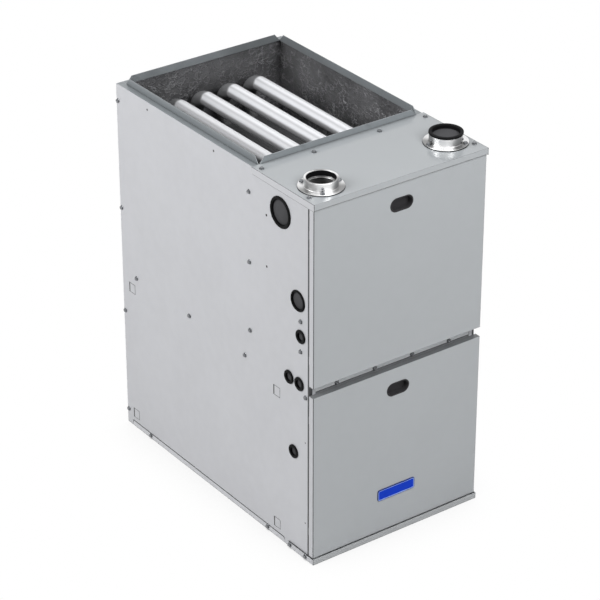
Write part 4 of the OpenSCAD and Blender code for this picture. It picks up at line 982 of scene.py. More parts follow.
def box_outline(w: float, h: float, r: float, steps: int = 10) -> Outline:
    """A rectangle with round corners that can be inset.

    Args:
        w: Its width.
        h: Its height.
        r: Its corner radius.
        steps: Points on each corner.

    Returns:
        A function from an inset to the points.
    """

    def points(inset: float) -> Pairs:
        """The outline's points at an inset.

        Args:
            inset: How far the outline lies inside the given one.

        Returns:
            The points.
        """
        radius = max(r - inset, 0.00005)
        half_w, half_h = w / 2 - inset - radius, h / 2 - inset - radius
        corners = ((1, 1, 0), (-1, 1, 90), (-1, -1, 180), (1, -1, 270))
        loop = []
        for sx, sy, start in corners:
            for k in range(steps + 1):
                a = math.radians(start + 90 * k / steps)
                across, up = radius * math.cos(a), radius * math.sin(a)
                loop.append((sx * half_w + across, sy * half_h + up))
        return loop

    return points


def softened(profile: Pairs, cut: float, steps: int = 4) -> Pairs:
    """Rounds the corners inside an open profile.

    Args:
        profile: The profile's points.
        cut: How far from a corner its rounding starts.
        steps: Pieces in each rounding.

    Returns:
        The rounded profile.
    """
    points = [Vector(p) for p in profile]
    result = [points[0]]
    for before, corner, after in zip(points, points[1:], points[2:]):
        back, ahead = before - corner, after - corner
        start = corner + back.normalized() * min(cut, back.length * 0.45)
        end = corner + ahead.normalized() * min(cut, ahead.length * 0.45)
        for k in range(steps + 1):
            t = k / steps
            result.append(start.lerp(corner, t).lerp(corner.lerp(end, t), t))
    result.append(points[-1])
    return [(p[0], p[1]) for p in result]


def shifted(profile: Pairs, inset: float) -> Pairs:
    """A profile with something added to its insets."""
    return tuple((own + inset, height) for own, height in profile)


def swept(path: Sequence[Vector], radii: Sequence[float], side: Vector, count: int) -> list[Loop]:
    """Circles square to a flat path.

    Args:
        path: The path's points.
        radii: The radius at each point.
        side: The direction square to the path's plane.
        count: Points around the circle.

    Returns:
        One loop for each point.
    """
    loops = []
    angles = [2 * math.pi * k / count for k in range(count)]
    for i, point in enumerate(path):
        ahead = path[min(i + 1, len(path) - 1)] - path[max(i - 1, 0)]
        rise = ahead.normalized().cross(side)
        spokes = [side * math.cos(a) + rise * math.sin(a) for a in angles]
        loops.append([point + spoke * radii[i] for spoke in spokes])
    return loops


class Skin:
    """A mesh made from rings of points joined by faces."""

    def __init__(self) -> None:
        """Starts an empty mesh."""
        self.mesh = bmesh.new()

    def rings(self, loops: Iterable[Loop], joined: bool = False) -> None:
        """Joins loops of equal count in order.

        Args:
            loops: The loops of points.
            joined: True where the last loop joins the first one, and False where both are filled.
        """
        made = [[self.mesh.verts.new(p) for p in loop] for loop in loops]
        pairs = list(zip(made, made[1:]))
        if joined:
            pairs.append((made[-1], made[0]))
        for one, two in pairs:
            for i in range(len(one)):
                j = (i + 1) % len(one)
                self.mesh.faces.new((one[i], one[j], two[j], two[i]))
        if not joined:
            self.mesh.faces.new(made[0])
            self.mesh.faces.new(made[-1])

    def raised(self, seat: Seat, outline: Outline, profile: Pairs, joined: bool = False) -> None:
        """Lofts an outline through a profile of insets and heights."""
        loops = [[seat.at(u, v, height) for u, v in outline(inset)] for inset, height in profile]
        self.rings(loops, joined)

    def block(self, low: Sequence[float], high: Sequence[float]) -> None:
        """Adds a box between two corners.

        Args:
            low: The corner with the smallest coordinates.
            high: The opposite corner.
        """
        seat = Seat(Vector((0, 0, 0)), Facing.TOP)
        corners = [(low[0], low[1]), (high[0], low[1]), (high[0], high[1]), (low[0], high[1])]
        self.rings([[seat.at(u, v, z) for u, v in corners] for z in (low[2], high[2])])

    def object(self, name: str, sharp: float = 32.0) -> bpy.types.Object:
        """Turns the mesh into an object.

        Args:
            name: The object's name.
            sharp: Edges that turn more than this many degrees stay sharp.

        Returns:
            The object.
        """
        bmesh.ops.recalc_face_normals(self.mesh, faces=self.mesh.faces)
        data = bpy.data.meshes.new(name)
        self.mesh.to_mesh(data)
        self.mesh.free()
        for polygon in data.polygons:
            polygon.use_smooth = True
        data.set_sharp_from_angle(angle=math.radians(sharp))
        made = bpy.data.objects.new(name, data)
        bpy.context.scene.collection.objects.link(made)
        return made


class Shop:
    """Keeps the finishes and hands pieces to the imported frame."""

    def __init__(self, frame: dict[str, Any]) -> None:
        """Takes the loaded frame."""
        self.nodes = frame["nodes"]
        self.made: dict[str, bpy.types.Material] = {}

    def material(self, finish: Finish) -> bpy.types.Material:
        """The material of a finish, built once.

        Args:
            finish: The finish.

        Returns:
            Its material.
        """
        if finish.name not in self.made:
            self.made[finish.name] = finish.material()
        return self.made[finish.name]

    def dress(self, finish: Finish, *names: str) -> None:
        """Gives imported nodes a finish.

        Args:
            finish: The finish.
            names: The nodes.
        """
        for name in names:
            data = self.nodes[name].data
            if not data.materials:
                data.materials.append(None)
            for i in range(len(data.materials)):
                data.materials[i] = self.material(finish)
            LOG.info("node %s: %s", name, finish.name)

    def place(
        self, made: bpy.types.Object, body: Body, slot: str, finish: Finish, *nodes: str
    ) -> None:
        """Dresses a new piece and sets it on its body.

        Args:
            made: The piece.
            body: The body it moves with.
            slot: Not used.
            finish: Its finish.
            nodes: The nodes that it replaces.
        """
        made.data.materials.append(self.material(finish))
        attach(made, body.value)
        if nodes:
            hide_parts(*nodes)
        LOG.info("piece %s on %s: %s", made.name, body.value, finish.name)


def linear(red: int, green: int, blue: int) -> Colour:
    """A colour seen on screen, from 0 to 255, as a linear one."""
    shares = (c / 255 for c in (red, green, blue))
    return tuple(((s + 0.055) / 1.055) ** 2.4 if s > 0.04 else s / 12.92 for s in shares)


# Painted light: the side, top and front paints are one casing paint in lit and shaded copies, each
# toned to how the lamps fall on faces turned that way; the top copy's gap shade reaches far,
# darkening the lid beside its flanges
LIT_SIDE_PAINT = Paint(linear(203, 204, 208), 0.03)
LIT_TOP_PAINT = Paint(linear(162, 166, 169), 0.01, 0.2, 0.03, 0.00001)
LIT_FRONT_PAINT = Paint(linear(188, 192, 195), 0.015, 0.3, 0.024)
BARE_METAL = linear(139, 144, 147)
# The colour of the painted shade lines along folds, gaps and seams
SHADE_LINE = linear(66, 68, 70)

# Where the bands of the casing's sheets lie: the walls' skin, the lips' sides and the front corners
WALL_SKIN = (0.2215, FAR)
LIP_SIDE = (0.22445, FAR)
LIP_CORNER = (0.2237, FAR)
LID_TOP = (0.8634, FAR)
MARK_REARS = (0.341, -0.2196)
MARK_LOWS = (0.0245, 0.3575)
MARK_SIZE = 0.024
MARK_SHADE = 0.0038
SMALL_HOLES = (
    (-0.1986, 0.7728, 0.0028),
    (-0.1986, 0.6536, 0.0028),
    (0.2433, 0.845, 0.0026),
    (-0.0095, 0.845, 0.0026),
    (-0.334, 0.2919, 0.0018),
    (-0.334, 0.0904, 0.0018),
)

# Painted shade in the scored lines of the knock-out marks
SCORE_SHADE = tone(LIT_SIDE_PAINT.colour, 0.1)
SCORE_SHADOWS = Band(SCORE_SHADE, 1.0, (0.22125, 0.22215), (-0.3335, FAR), (-FAR, 0.8602))
# Painted shade on the post between the doors
POST_SHADE = Band(tone(SHADE_LINE, 0.6), 0.9, (0.21325, FAR), (-FAR, -0.3423))
# Painted highlight on the post's hem
POST_HEM_HIGHLIGHT = Band(tone(LIT_SIDE_PAINT.colour, 1.2), 0.9, (-FAR, 0.21325), (-FAR, -0.3441))
# Painted shade in the seam above the base rails, wider than the gap
RAIL_SEAM_SHADE = Band(tone(SHADE_LINE, 0.7), 0.95, WALL_SKIN, (-0.257, 0.344), (0.0136, 0.0147))
MARK_SHADES = tuple(
    Band(tone(SHADE_LINE, 0.4), 0.95, (0.222, FAR), (rear - MARK_SHADE, rear), (low, low + MARK_SIZE))
    for rear in MARK_REARS
    for low in MARK_LOWS
)
# Painted shade round the small holes
HOLE_SHADES = tuple(HoleShade(*hole) for hole in SMALL_HOLES)

PANEL = PanelSheet(
    "side_paint",
    LIT_SIDE_PAINT,
    BARE_METAL,
    (SCORE_SHADOWS, POST_SHADE, POST_HEM_HIGHLIGHT, RAIL_SEAM_SHADE, *MARK_SHADES, *HOLE_SHADES),
)
RAIL = PaintedSheet(
    "rail_paint",
    Paint(linear(213, 214, 218), 0.02),
    0.36,
    # Painted shade along the rail's top edge, in the seam
    (Band(tone(SHADE_LINE, 0.7), 0.95, WALL_SKIN, up=(0.0118, FAR)),),
)
SILL = PaintedSheet(
    "sill_paint",
    # Painted light and shade: the face in a front-lit copy of the paint, the sides in the side-lit
    # copy, and painted shade lines along the top seam, at the corner fold and faintly across the
    # face
    Paint(linear(192, 195, 197), 0.015, 0.3),
    0.34,
    (
        Band(LIT_SIDE_PAINT.colour, 1.0, LIP_SIDE),
        Band(tone(SHADE_LINE, 0.6), 0.95, WALL_SKIN, (-0.3651, FAR), (0.0129, FAR)),
        Band(SHADE_LINE, 0.85, LIP_CORNER, (-FAR, -0.3652)),
        Band(SHADE_LINE, 0.2, along=(-FAR, -0.3655), up=(0.0060, 0.0072)),
    ),
)
MID_RAIL = PaintedSheet(
    "mid_rail_paint",
    Paint(linear(150, 153, 156), 0.04),
    0.4,
    (
        # Painted light: a lit strip along the rail's top, then a painted shade line below it
        Band(linear(240, 242, 244), 0.95, up=(0.4166, FAR)),
        Band(SHADE_LINE, 0.9, up=(0.4148, 0.4166)),
    ),
)
DOOR = PaintedSheet(
    "door_paint",
    LIT_FRONT_PAINT,
    0.34,
    (
        # Painted light and shade: the side returns in the side-lit copy, painted shade on the lower
        # door's top flange under the upper door, and a shade line at the vertical fold
        Band(LIT_SIDE_PAINT.colour, 1.0, (0.22285, FAR)),
        Band(linear(96, 98, 100), 0.9, along=(-0.3624, FAR), up=(0.4131, 0.414)),
        Band(SHADE_LINE, 0.85, WALL_SKIN, (-FAR, -0.3616)),
    ),
)
COVER = PaintedSheet(
    "cover_paint",
    LIT_TOP_PAINT,
    0.2,
    (
        # Painted light and shade: the lip's sides in the side-lit copy and its front in the
        # front-lit copy, with painted shade lines along the top folds, the corner and under the lip
        Band(LIT_SIDE_PAINT.colour, 1.0, LIP_SIDE),
        Band(LIT_FRONT_PAINT.colour, 1.0, (-FAR, LIP_SIDE[0]), (-FAR, -0.36605)),
        Band(SHADE_LINE, 0.75, (0.2236, FAR), up=LID_TOP),
        Band(SHADE_LINE, 0.3, along=(-FAR, -0.3652), up=LID_TOP),
        Band(SHADE_LINE, 0.85, LIP_CORNER, (-FAR, -0.3653)),
        Band(SHADE_LINE, 0.6, along=(-FAR, -0.3655), up=(-FAR, 0.8511)),
        Band(SHADE_LINE, 0.5, (0.2240, FAR), up=(-FAR, 0.8494)),
    ),
    # Painted light: the lid's bare flange is a lighter copy of the walls' bare metal
    tone(BARE_METAL, 1.26),
    0.86415,
)
SEAL = MouldedPiece("seal_strip", linear(186, 190, 193), 0.6)
GALVANISED = BareSheet("galvanised_sheet", linear(150, 154, 157), 0.6)
FOIL = FoilFacing("foil_facing", linear(110, 110, 112))
TUBE = TubeSteel("tube_steel", linear(234, 235, 238), 0.0712, 0.804, 0.0167, 0.284)
# The phases turn each collar's painted reflection fans
INTAKE = TurnedMetal("intake_steel", linear(236, 236, 236), (-0.162, -0.305), 0.6)
VENT = TurnedMetal("vent_steel", linear(236, 236, 236), (0.1707, -0.2915), 2.1)
# The screws' painted shade reaches only their washers and sides, so the hex tops stay lighter
SCREW = BrightMetal(
    "screw_steel",
    linear(126, 128, 131),
    0.22,
    (500.0, 500.0, 500.0),
    metallic=0.8,
    contrast=0.2,
    gap=1.0,
    reach=0.0034,
)
SPUN = BrightMetal("bright_sheet", linear(190, 193, 195), 0.34, (30.0, 300.0, 300.0))
BRASS = BrightMetal("brass_fitting", linear(196, 160, 92), 0.38, (300.0, 300.0, 300.0))
LAMINATION = BrightMetal(
    "lamination_steel", linear(110, 108, 106), 0.45, (20.0, 900.0, 20.0), 0.0001
)
RUBBER = MouldedPiece("black_rubber", linear(19, 19, 20), 0.5, gloss=0.05)
RECESS = MouldedPiece("recessed_rubber", linear(76, 76, 78), 0.6, gloss=0.08)
GRIP_PLASTIC = MouldedPiece("grip_plastic", linear(60, 59, 61), 0.6, 1300.0, 0.00004, gloss=0.1)
BLACK_PLASTIC = MouldedPiece("black_plastic", linear(30, 30, 32), 0.42, 1200.0, 0.00005, 0.1)
WHITE_PLASTIC = MouldedPiece("white_plastic", linear(214, 214, 208), 0.45)
GREY_PLASTIC = MouldedPiece("grey_plastic", linear(96, 99, 102), 0.5)
BLACK_ENAMEL = MouldedPiece("black_enamel", linear(30, 31, 33), 0.35, 500.0, 0.0001, 0.25)
IRON = MouldedPiece("iron_pipe", linear(52, 52, 54), 0.62, 420.0, 0.00025)
CERAMIC = MouldedPiece("white_ceramic", linear(226, 222, 212), 0.7, 600.0, 0.0001)
BOARD = MouldedPiece("board_lacquer", linear(34, 92, 62), 0.34, 700.0, 0.00005, 0.3)
RED = MouldedPiece("red_button", linear(178, 32, 30), 0.38, 900.0, 0.00003, 0.2)


# Stage and sub-assemblies


@dataclass
class Stage:
    """Camera, floor, lamps and surroundings."""

    azimuth: float = -36.097
    elevation: float = 28.917
    eye: Vector = field(default_factory=lambda: Vector((-2.96827, -4.08143, 3.20133)))
    lens: float = 156.498
    sensor_w: float = 36.0
    view_end: float = 200.0
    floor_size: float = 60.0
    floor_t: float = 0.02
    floor_top: float = -0.0004
    floor_white: float = 0.84
    floor_greys: tuple[int, int] = (190, 196)
    floor_scale: float = 0.8
    floor_rough: float = 0.9
    shadow_reach: float = 0.16
    inside_reach: float = 0.6
    inside_open: Span = (0.2, 0.5)
    aim: Vector = field(default_factory=lambda: Vector((0.0, 0.0, 0.45)))
    lamps: tuple[tuple[str, tuple[float, float, float], float, float], ...] = (
        ("key_lamp", (-2.9, 0.6, 2.5), 1.8, 88.0),
        ("front_lamp", (0.3, -2.4, 2.7), 1.6, 65.0),
        ("top_lamp", (0.2, 0.3, 3.6), 1.8, 22.0),
    )
    sky: float = 0.1
    sky_colour: Colour = (0.97, 0.985, 1.0)

    def back(self) -> Vector:
        """Direction from the object to the camera."""
        a, e = math.radians(self.azimuth), math.radians(self.elevation)
        return Vector((math.sin(a) * math.cos(e), -math.cos(a) * math.cos(e), math.sin(e)))

    def camera(self) -> None:
        """Makes the camera at the photograph's angle."""
        data = bpy.data.cameras.new("camera")
        data.lens = self.lens
        data.sensor_width = self.sensor_w
        data.clip_end = self.view_end
        made = bpy.data.objects.new("camera", data)
        bpy.context.scene.collection.objects.link(made)
        made.location = self.eye
        made.rotation_euler = (-self.back()).to_track_quat("-Z", "Y").to_euler()
        bpy.context.scene.camera = made

    def floor(self) -> None:
        """Makes the pale floor, white where it isn't in shadow."""
        skin = Skin()
        half = self.floor_size / 2
        skin.block((-half, -half, -self.floor_t), (half, half, self.floor_top))
        made = skin.object("floor")
        shader = Shader("floor_finish")
        greys = [linear(grey, grey, grey) for grey in self.floor_greys]
        shader.set(
            Base_Color=shader.mix(shader.noise(self.floor_scale, 2.0), *greys),
            Roughness=self.floor_rough,
        )
        glow = shader.add("ShaderNodeEmission", {}, {"Color": (1.0, 1.0, 1.0), "Strength": 1.0})
        beside = shader.nook(self.shadow_reach) * (1 - self.floor_white) + self.floor_white
        share = shader.seen_share() * beside * shader.nook(self.inside_reach, *self.inside_open)
        inputs = {0: share, 1: shader.principled.outputs[0], 2: glow}
        blend = shader.add("ShaderNodeMixShader", {}, inputs)
        shader.connect(shader.output.inputs["Surface"], blend)
        made.data.materials.append(shader.material)

    def world(self) -> None:
        """White where the camera sees it and a soft light elsewhere."""
        world = bpy.data.worlds.new("surroundings")
        world.use_nodes = True
        tree = Tree(world.node_tree)
        daylight = {"Color": self.sky_colour, "Strength": self.sky}
        soft = tree.add("ShaderNodeBackground", {}, daylight)
        white = tree.add("ShaderNodeBackground", {}, {"Color": (1.0, 1.0, 1.0), "Strength": 1.0})
        blend = tree.add("ShaderNodeMixShader", {}, {0: tree.seen_share(), 1: soft, 2: white})
        tree.add("ShaderNodeOutputWorld", {}, {"Surface": blend})
        bpy.context.scene.world = world

    def lamp(self, name: str, place: tuple[float, float, float], size: float, power: float) -> None:
        """Makes one large soft lamp that points at the furnace.

        Args:
            name: Its name.
            place: Where it stands.
            size: Its width.
            power: Its power in watts.
        """
        data = bpy.data.lights.new(name, "AREA")
        data.shape = "SQUARE"
        data.size = size
        data.energy = power
        made = bpy.data.objects.new(name, data)
        bpy.context.scene.collection.objects.link(made)
        made.location = place
        made.rotation_euler = (self.aim - made.location).to_track_quat("-Z", "Y").to_euler()

    def build(self) -> None:
        """Makes the whole stage."""
        self.camera()
        self.floor()
        self.world()
        for lamp in self.lamps:
            self.lamp(*lamp)
        bpy.context.scene.view_settings.view_transform = "Standard"
        LOG.info("stage built")


@dataclass
class SheetScrew:
    """One hex-head sheet metal screw with a washer face."""

    washer_r: float = 5.4 * MM
    washer_h: float = 0.9 * MM
    hex_r: float = 4.5 * MM
    hex_h: float = 3.0 * MM
    shank_r: float = 2.1 * MM
    shank_len: float = 8.0 * MM
    shank_tip: Span = (0.5, 0.8)
    washer_side: float = 0.45
    washer_in: float = 0.8
    turn: float = 0.26
    hex_foot: float = 0.7
    hex_edge: Span = (0.45, 0.35)
    cup: Span = (0.42, 0.55)
    cup_deep: float = 0.7
    dish: float = 0.5 * MM

    def add(self, skin: Skin, seat: Seat) -> None:
        """Adds the screw to a mesh.

        Args:
            skin: The mesh.
            seat: Where its head sits.
        """
        top, dish = self.washer_h + self.hex_h, self.dish
        tip_r, tip_len = self.shank_tip
        shank = self.washer_r - self.shank_r
        skin.raised(
            seat,
            round_outline(self.washer_r, 32),
            [
                (shank + self.shank_r * tip_r, -self.shank_len),
                (shank, -self.shank_len * tip_len),
                (shank, 0.0),
                (0.0, 0.0),
                (0.0, self.washer_h * self.washer_side),
                (dish, self.washer_h),
                (self.washer_r - self.hex_r * self.washer_in, self.washer_h),
            ],
        )
        hexagon = Seat(seat.centre, seat.facing, self.turn)
        skin.raised(
            hexagon,
            round_outline(self.hex_r, 6),
            [
                (0.0, self.washer_h * self.hex_foot),
                (0.0, top - dish),
                (dish * self.hex_edge[0], top - dish * self.hex_edge[1]),
                (dish, top),
                (self.hex_r * self.cup[0], top),
                (self.hex_r * self.cup[1], top - dish * self.cup_deep),
            ],
        )


Dressed = tuple[tuple[Finish, tuple[str, ...]], ...]


@dataclass
class SubAssembly:
    """A part of the furnace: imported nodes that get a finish, and pieces of its own."""

    shop: Shop
    dressed: Dressed = ()

    def pieces(self) -> None:
        """Makes the pieces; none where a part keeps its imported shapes."""

    def build(self) -> None:
        """Dresses the nodes and makes the pieces."""
        for finish, names in self.dressed:
            self.shop.dress(finish, *names)
        self.pieces()


@dataclass
class Casing(SubAssembly):
    """Panels, rails, liners and their screws."""

    dressed: Dressed = (
        (PANEL, ("left_side_panel", "right_side_panel", "back_panel")),
        (COVER, ("top_cover",)),
        (RAIL, ("base_side_rails",)),
        (SILL, ("front_sill",)),
        (MID_RAIL, ("mid_rail",)),
        (SEAL, ("mid_rail_seal",)),
        (GALVANISED, ("base_frame", "blower_deck", "vestibule_panel")),
        (SPUN, ("door_clips",)),
    )
    post_y: float = -345.5 * MM
    rear_y: float = 366.3 * MM
    wall_x: float = 222.25 * MM
    lid_x: float = 224.7 * MM
    top: float = 864.0 * MM
    vest_y: float = -149.0 * MM
    deck_z: float = 403.5 * MM
    sill_z: float = 8.0 * MM
    box_y: float = -318.3 * MM
    box_z: float = 541.6 * MM
    mid_z: float = 421.0 * MM
    rear_screw_in: float = 5.8 * MM
    rear_screw_low: float = 36.9 * MM
    rear_screw_pitch: float = 262.133 * MM
    deck_screw_rear: float = 308.7 * MM
    deck_screw_pitch: float = 212.4 * MM
    post_screw_in: float = 9.7 * MM
    inner_screw_in: float = 12.0 * MM
    inner_screw_low: float = 474.0 * MM
    inner_screw_pitch: float = 164.0 * MM
    box_screw_rise: float = 35.7 * MM
    mid_screw_x: float = 50.0 * MM
    rail_screws: tuple[float, ...] = (-196.1 * MM, 268.7 * MM)
    sill_screws: tuple[float, ...] = (-337.7 * MM, -282.1 * MM)
    cover_screws: Pairs = metres(
        (-213.0, -169.7),
        (-80.0, -169.7),
        (90.5, -169.7),
        (213.0, -169.7),
        (-213.0, -333.8),
        (213.0, -333.8),
    )
    liner_x: float = 208.85 * MM
    liner_cells: tuple[int, int] = (150, 130)
    rear_liner_cells: tuple[int, int] = (140, 130)
    creases: Pairs = ((38.0, 0.6), (90.0, 0.3))
    swell_scale: float = 12.0
    swell: float = 0.35
    crease_deep: float = 3.2 * MM
    flat_rim: float = 0.02
    rim_rise: float = 14.0

    def side_places(self) -> list[tuple[float, float]]:
        """Screws of a side wall, as distances along Y and Z.

        Returns:
            The pairs of distances.
        """
        rear_y, inner_y = self.rear_y - self.rear_screw_in, self.vest_y + self.inner_screw_in
        rear = [(rear_y, self.rear_screw_low + i * self.rear_screw_pitch) for i in range(4)]
        deck = [(self.deck_screw_rear - i * self.deck_screw_pitch, self.deck_z) for i in range(3)]
        post = [(self.post_y + self.post_screw_in, self.deck_z)]
        inner = [(inner_y, self.inner_screw_low + i * self.inner_screw_pitch) for i in range(3)]
        box = [(self.box_y, self.box_z + side * self.box_screw_rise) for side in (-1, 1)]
        return rear + deck + post + inner + box

    def screws(self) -> None:
        """Makes the casing screws."""
        skin, screw = Skin(), SheetScrew()
        for side, facing in ((-1, Facing.LEFT), (1, Facing.RIGHT)):
            for y, z in self.side_places():
                screw.add(skin, Seat(Vector((side * self.wall_x, y, z)), facing))
            for y in self.rail_screws:
                screw.add(skin, Seat(Vector((side * self.wall_x, y, self.sill_z)), facing))
            for y in self.sill_screws:
                screw.add(skin, Seat(Vector((side * self.lid_x, y, self.sill_z)), facing))
        for x, y in self.cover_screws:
            screw.add(skin, Seat(Vector((x, y, self.top)), Facing.TOP))
        for turn in (-3, -1, 1, 3):
            place = Vector((turn * self.mid_screw_x, self.post_y, self.mid_z))
            screw.add(skin, Seat(place, Facing.FRONT))
        made = skin.object("casing_screw_heads", 30.0)
        self.shop.place(made, Body.CASING, "screw_metal", SCREW, "casing_screws")

    def sink(self, point: Vector) -> float:
        """How far the foil's creases sink at a point, as a share of the deepest.

        Args:
            point: The point.

        Returns:
            The share, from 0 to 1.
        """
        crease = sum(abs(noise.noise(point * scale)) * share for scale, share in self.creases)
        swell = self.swell * (noise.noise(point * self.swell_scale) + 1) / 2
        return min(1.0, crease + swell)

    def crinkled(
        self,
        skin: Skin,
        corner: Vector,
        along: Vector,
        up: Vector,
        out: Vector,
        cells: tuple[int, int],
    ) -> None:
        """Adds a liner sheet whose inner face is creased foil.

        Args:
            skin: The mesh.
            corner: One corner of the inner face.
            along: The inner face's length.
            up: The inner face's height.
            out: The sheet's thickness, away from the duct.
            cells: Number of cells along and up.
        """
        count_a, count_u = cells
        grid = []
        for j in range(count_u + 1):
            row = []
            for i in range(count_a + 1):
                s, t = i / count_a, j / count_u
                point = corner + along * s + up * t
                edge = min(1.0, self.rim_rise * min(s, 1 - s, t, 1 - t) + self.flat_rim)
                depth = self.sink(point) * edge * self.crease_deep
                row.append(skin.mesh.verts.new(point + out.normalized() * depth))
            grid.append(row)
        for low, high in zip(grid, grid[1:]):
            for i in range(count_a):
                skin.mesh.faces.new((low[i], low[i + 1], high[i + 1], high[i]))
        rim = grid[0] + [row[-1] for row in grid[1:]]
        rim += grid[-1][-2::-1] + [row[0] for row in grid[-2:0:-1]]
        back = [skin.mesh.verts.new(v.co + out) for v in rim]
        for i in range(len(rim)):
            j = (i + 1) % len(rim)
            skin.mesh.faces.new((rim[i], rim[j], back[j], back[i]))
        skin.mesh.faces.new(back)

    def liners(self) -> None:
        """Makes the foil-faced wall liners."""
        low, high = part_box("side_wall_liners")
        rear_low, rear_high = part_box("rear_wall_liner")
        height = Vector((0, 0, high.z - low.z))
        skin = Skin()
        for side in (-1, 1):
            corner = Vector((side * self.liner_x, low.y, low.z))
            out = Vector((side * (high.x - self.liner_x), 0, 0))
            along = Vector((0, high.y - low.y, 0))
            self.crinkled(skin, corner, along, height, out, self.liner_cells)
        made = skin.object("side_foil_liners", 70.0)
        self.shop.place(made, Body.CASING, "foil", FOIL, "side_wall_liners")
        skin = Skin()
        span = rear_high - rear_low
        along, up, out = Vector((span.x, 0, 0)), Vector((0, 0, span.z)), Vector((0, span.y, 0))
        self.crinkled(skin, Vector(rear_low), along, up, out, self.rear_liner_cells)
        made = skin.object("rear_foil_liner", 70.0)
        self.shop.place(made, Body.CASING, "foil", FOIL, "rear_wall_liner")

    def pieces(self) -> None:
        """Makes the pieces."""
        self.screws()
        self.liners()


@dataclass
class Doors(SubAssembly):
    """The two pull-off doors with their grips, and the nameplate."""

    dressed: Dressed = (
        (DOOR, ("upper_door", "lower_door")),
    )
    face_y: float = -363.1 * MM
    middle_w: float = 59.5 * MM
    middle_h: float = 31.5 * MM
    plate_z: float = 107.5 * MM
    plate_w: float = 100.0 * MM
    plate_h: float = 27.0 * MM
    plate_border: float = 1.6 * MM
    plate_r: float = 5.0 * MM
    plate_t: float = 2.0 * MM
    plate_field_t: float = 1.5 * MM
    plate_slope: float = 0.5 * MM
    grip_profile: Pairs = metres(
        (2.2, -12.5),
        (2.0, -0.1),
        (0.0, -0.1),
        (0.0, 0.9),
        (2.6, 0.9),
        (3.5, -1.0),
        (3.8, -11.0),
        (7.0, -11.0),
    )

    def grip(self, node: str, name: str, body: Body) -> None:
        """Makes one finger grip in the place of its node.

        Args:
            node: The node that it replaces.
            name: The piece's name.
            body: The door that it moves with.
        """
        low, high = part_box(node)
        middle = Vector(((low.x + high.x) / 2, self.face_y, (low.z + high.z) / 2))
        skin = Skin()
        outline = box_outline(self.middle_w, self.middle_h, self.middle_h / 2, 18)
        skin.raised(Seat(middle, Facing.FRONT), outline, softened(self.grip_profile, 0.8 * MM))
        self.shop.place(skin.object(name, 50.0), body, "plastic_black", GRIP_PLASTIC, node)

    def plate(self) -> None:
        """Makes the bare nameplate."""
        seat = Seat(Vector((0.0, self.face_y, self.plate_z)), Facing.FRONT)
        profile = [
            (0.0, 0.0),
            (0.0, self.plate_t),
            (self.plate_border, self.plate_t),
            (self.plate_border + self.plate_slope, self.plate_field_t),
            (6.0 * MM, self.plate_field_t),
        ]
        skin = Skin()
        outline = box_outline(self.plate_w, self.plate_h, self.plate_r)
        skin.raised(seat, outline, softened(profile, 0.4 * MM))
        finish = BorderedPlate(
            "plate_enamel",
            linear(16, 66, 214),
            linear(158, 184, 246),
            seat.centre,
            self.plate_w / 2,
            self.plate_h / 2,
            self.plate_r,
        )
        made = skin.object("door_nameplate", 50.0)
        self.shop.place(made, Body.LOWER_DOOR, "plate_blue", finish, "nameplate")

    def pieces(self) -> None:
        """Makes the pieces."""
        self.grip("upper_door_grip", "upper_finger_grip", Body.UPPER_DOOR)
        self.grip("lower_door_grip", "lower_finger_grip", Body.LOWER_DOOR)
        self.plate()


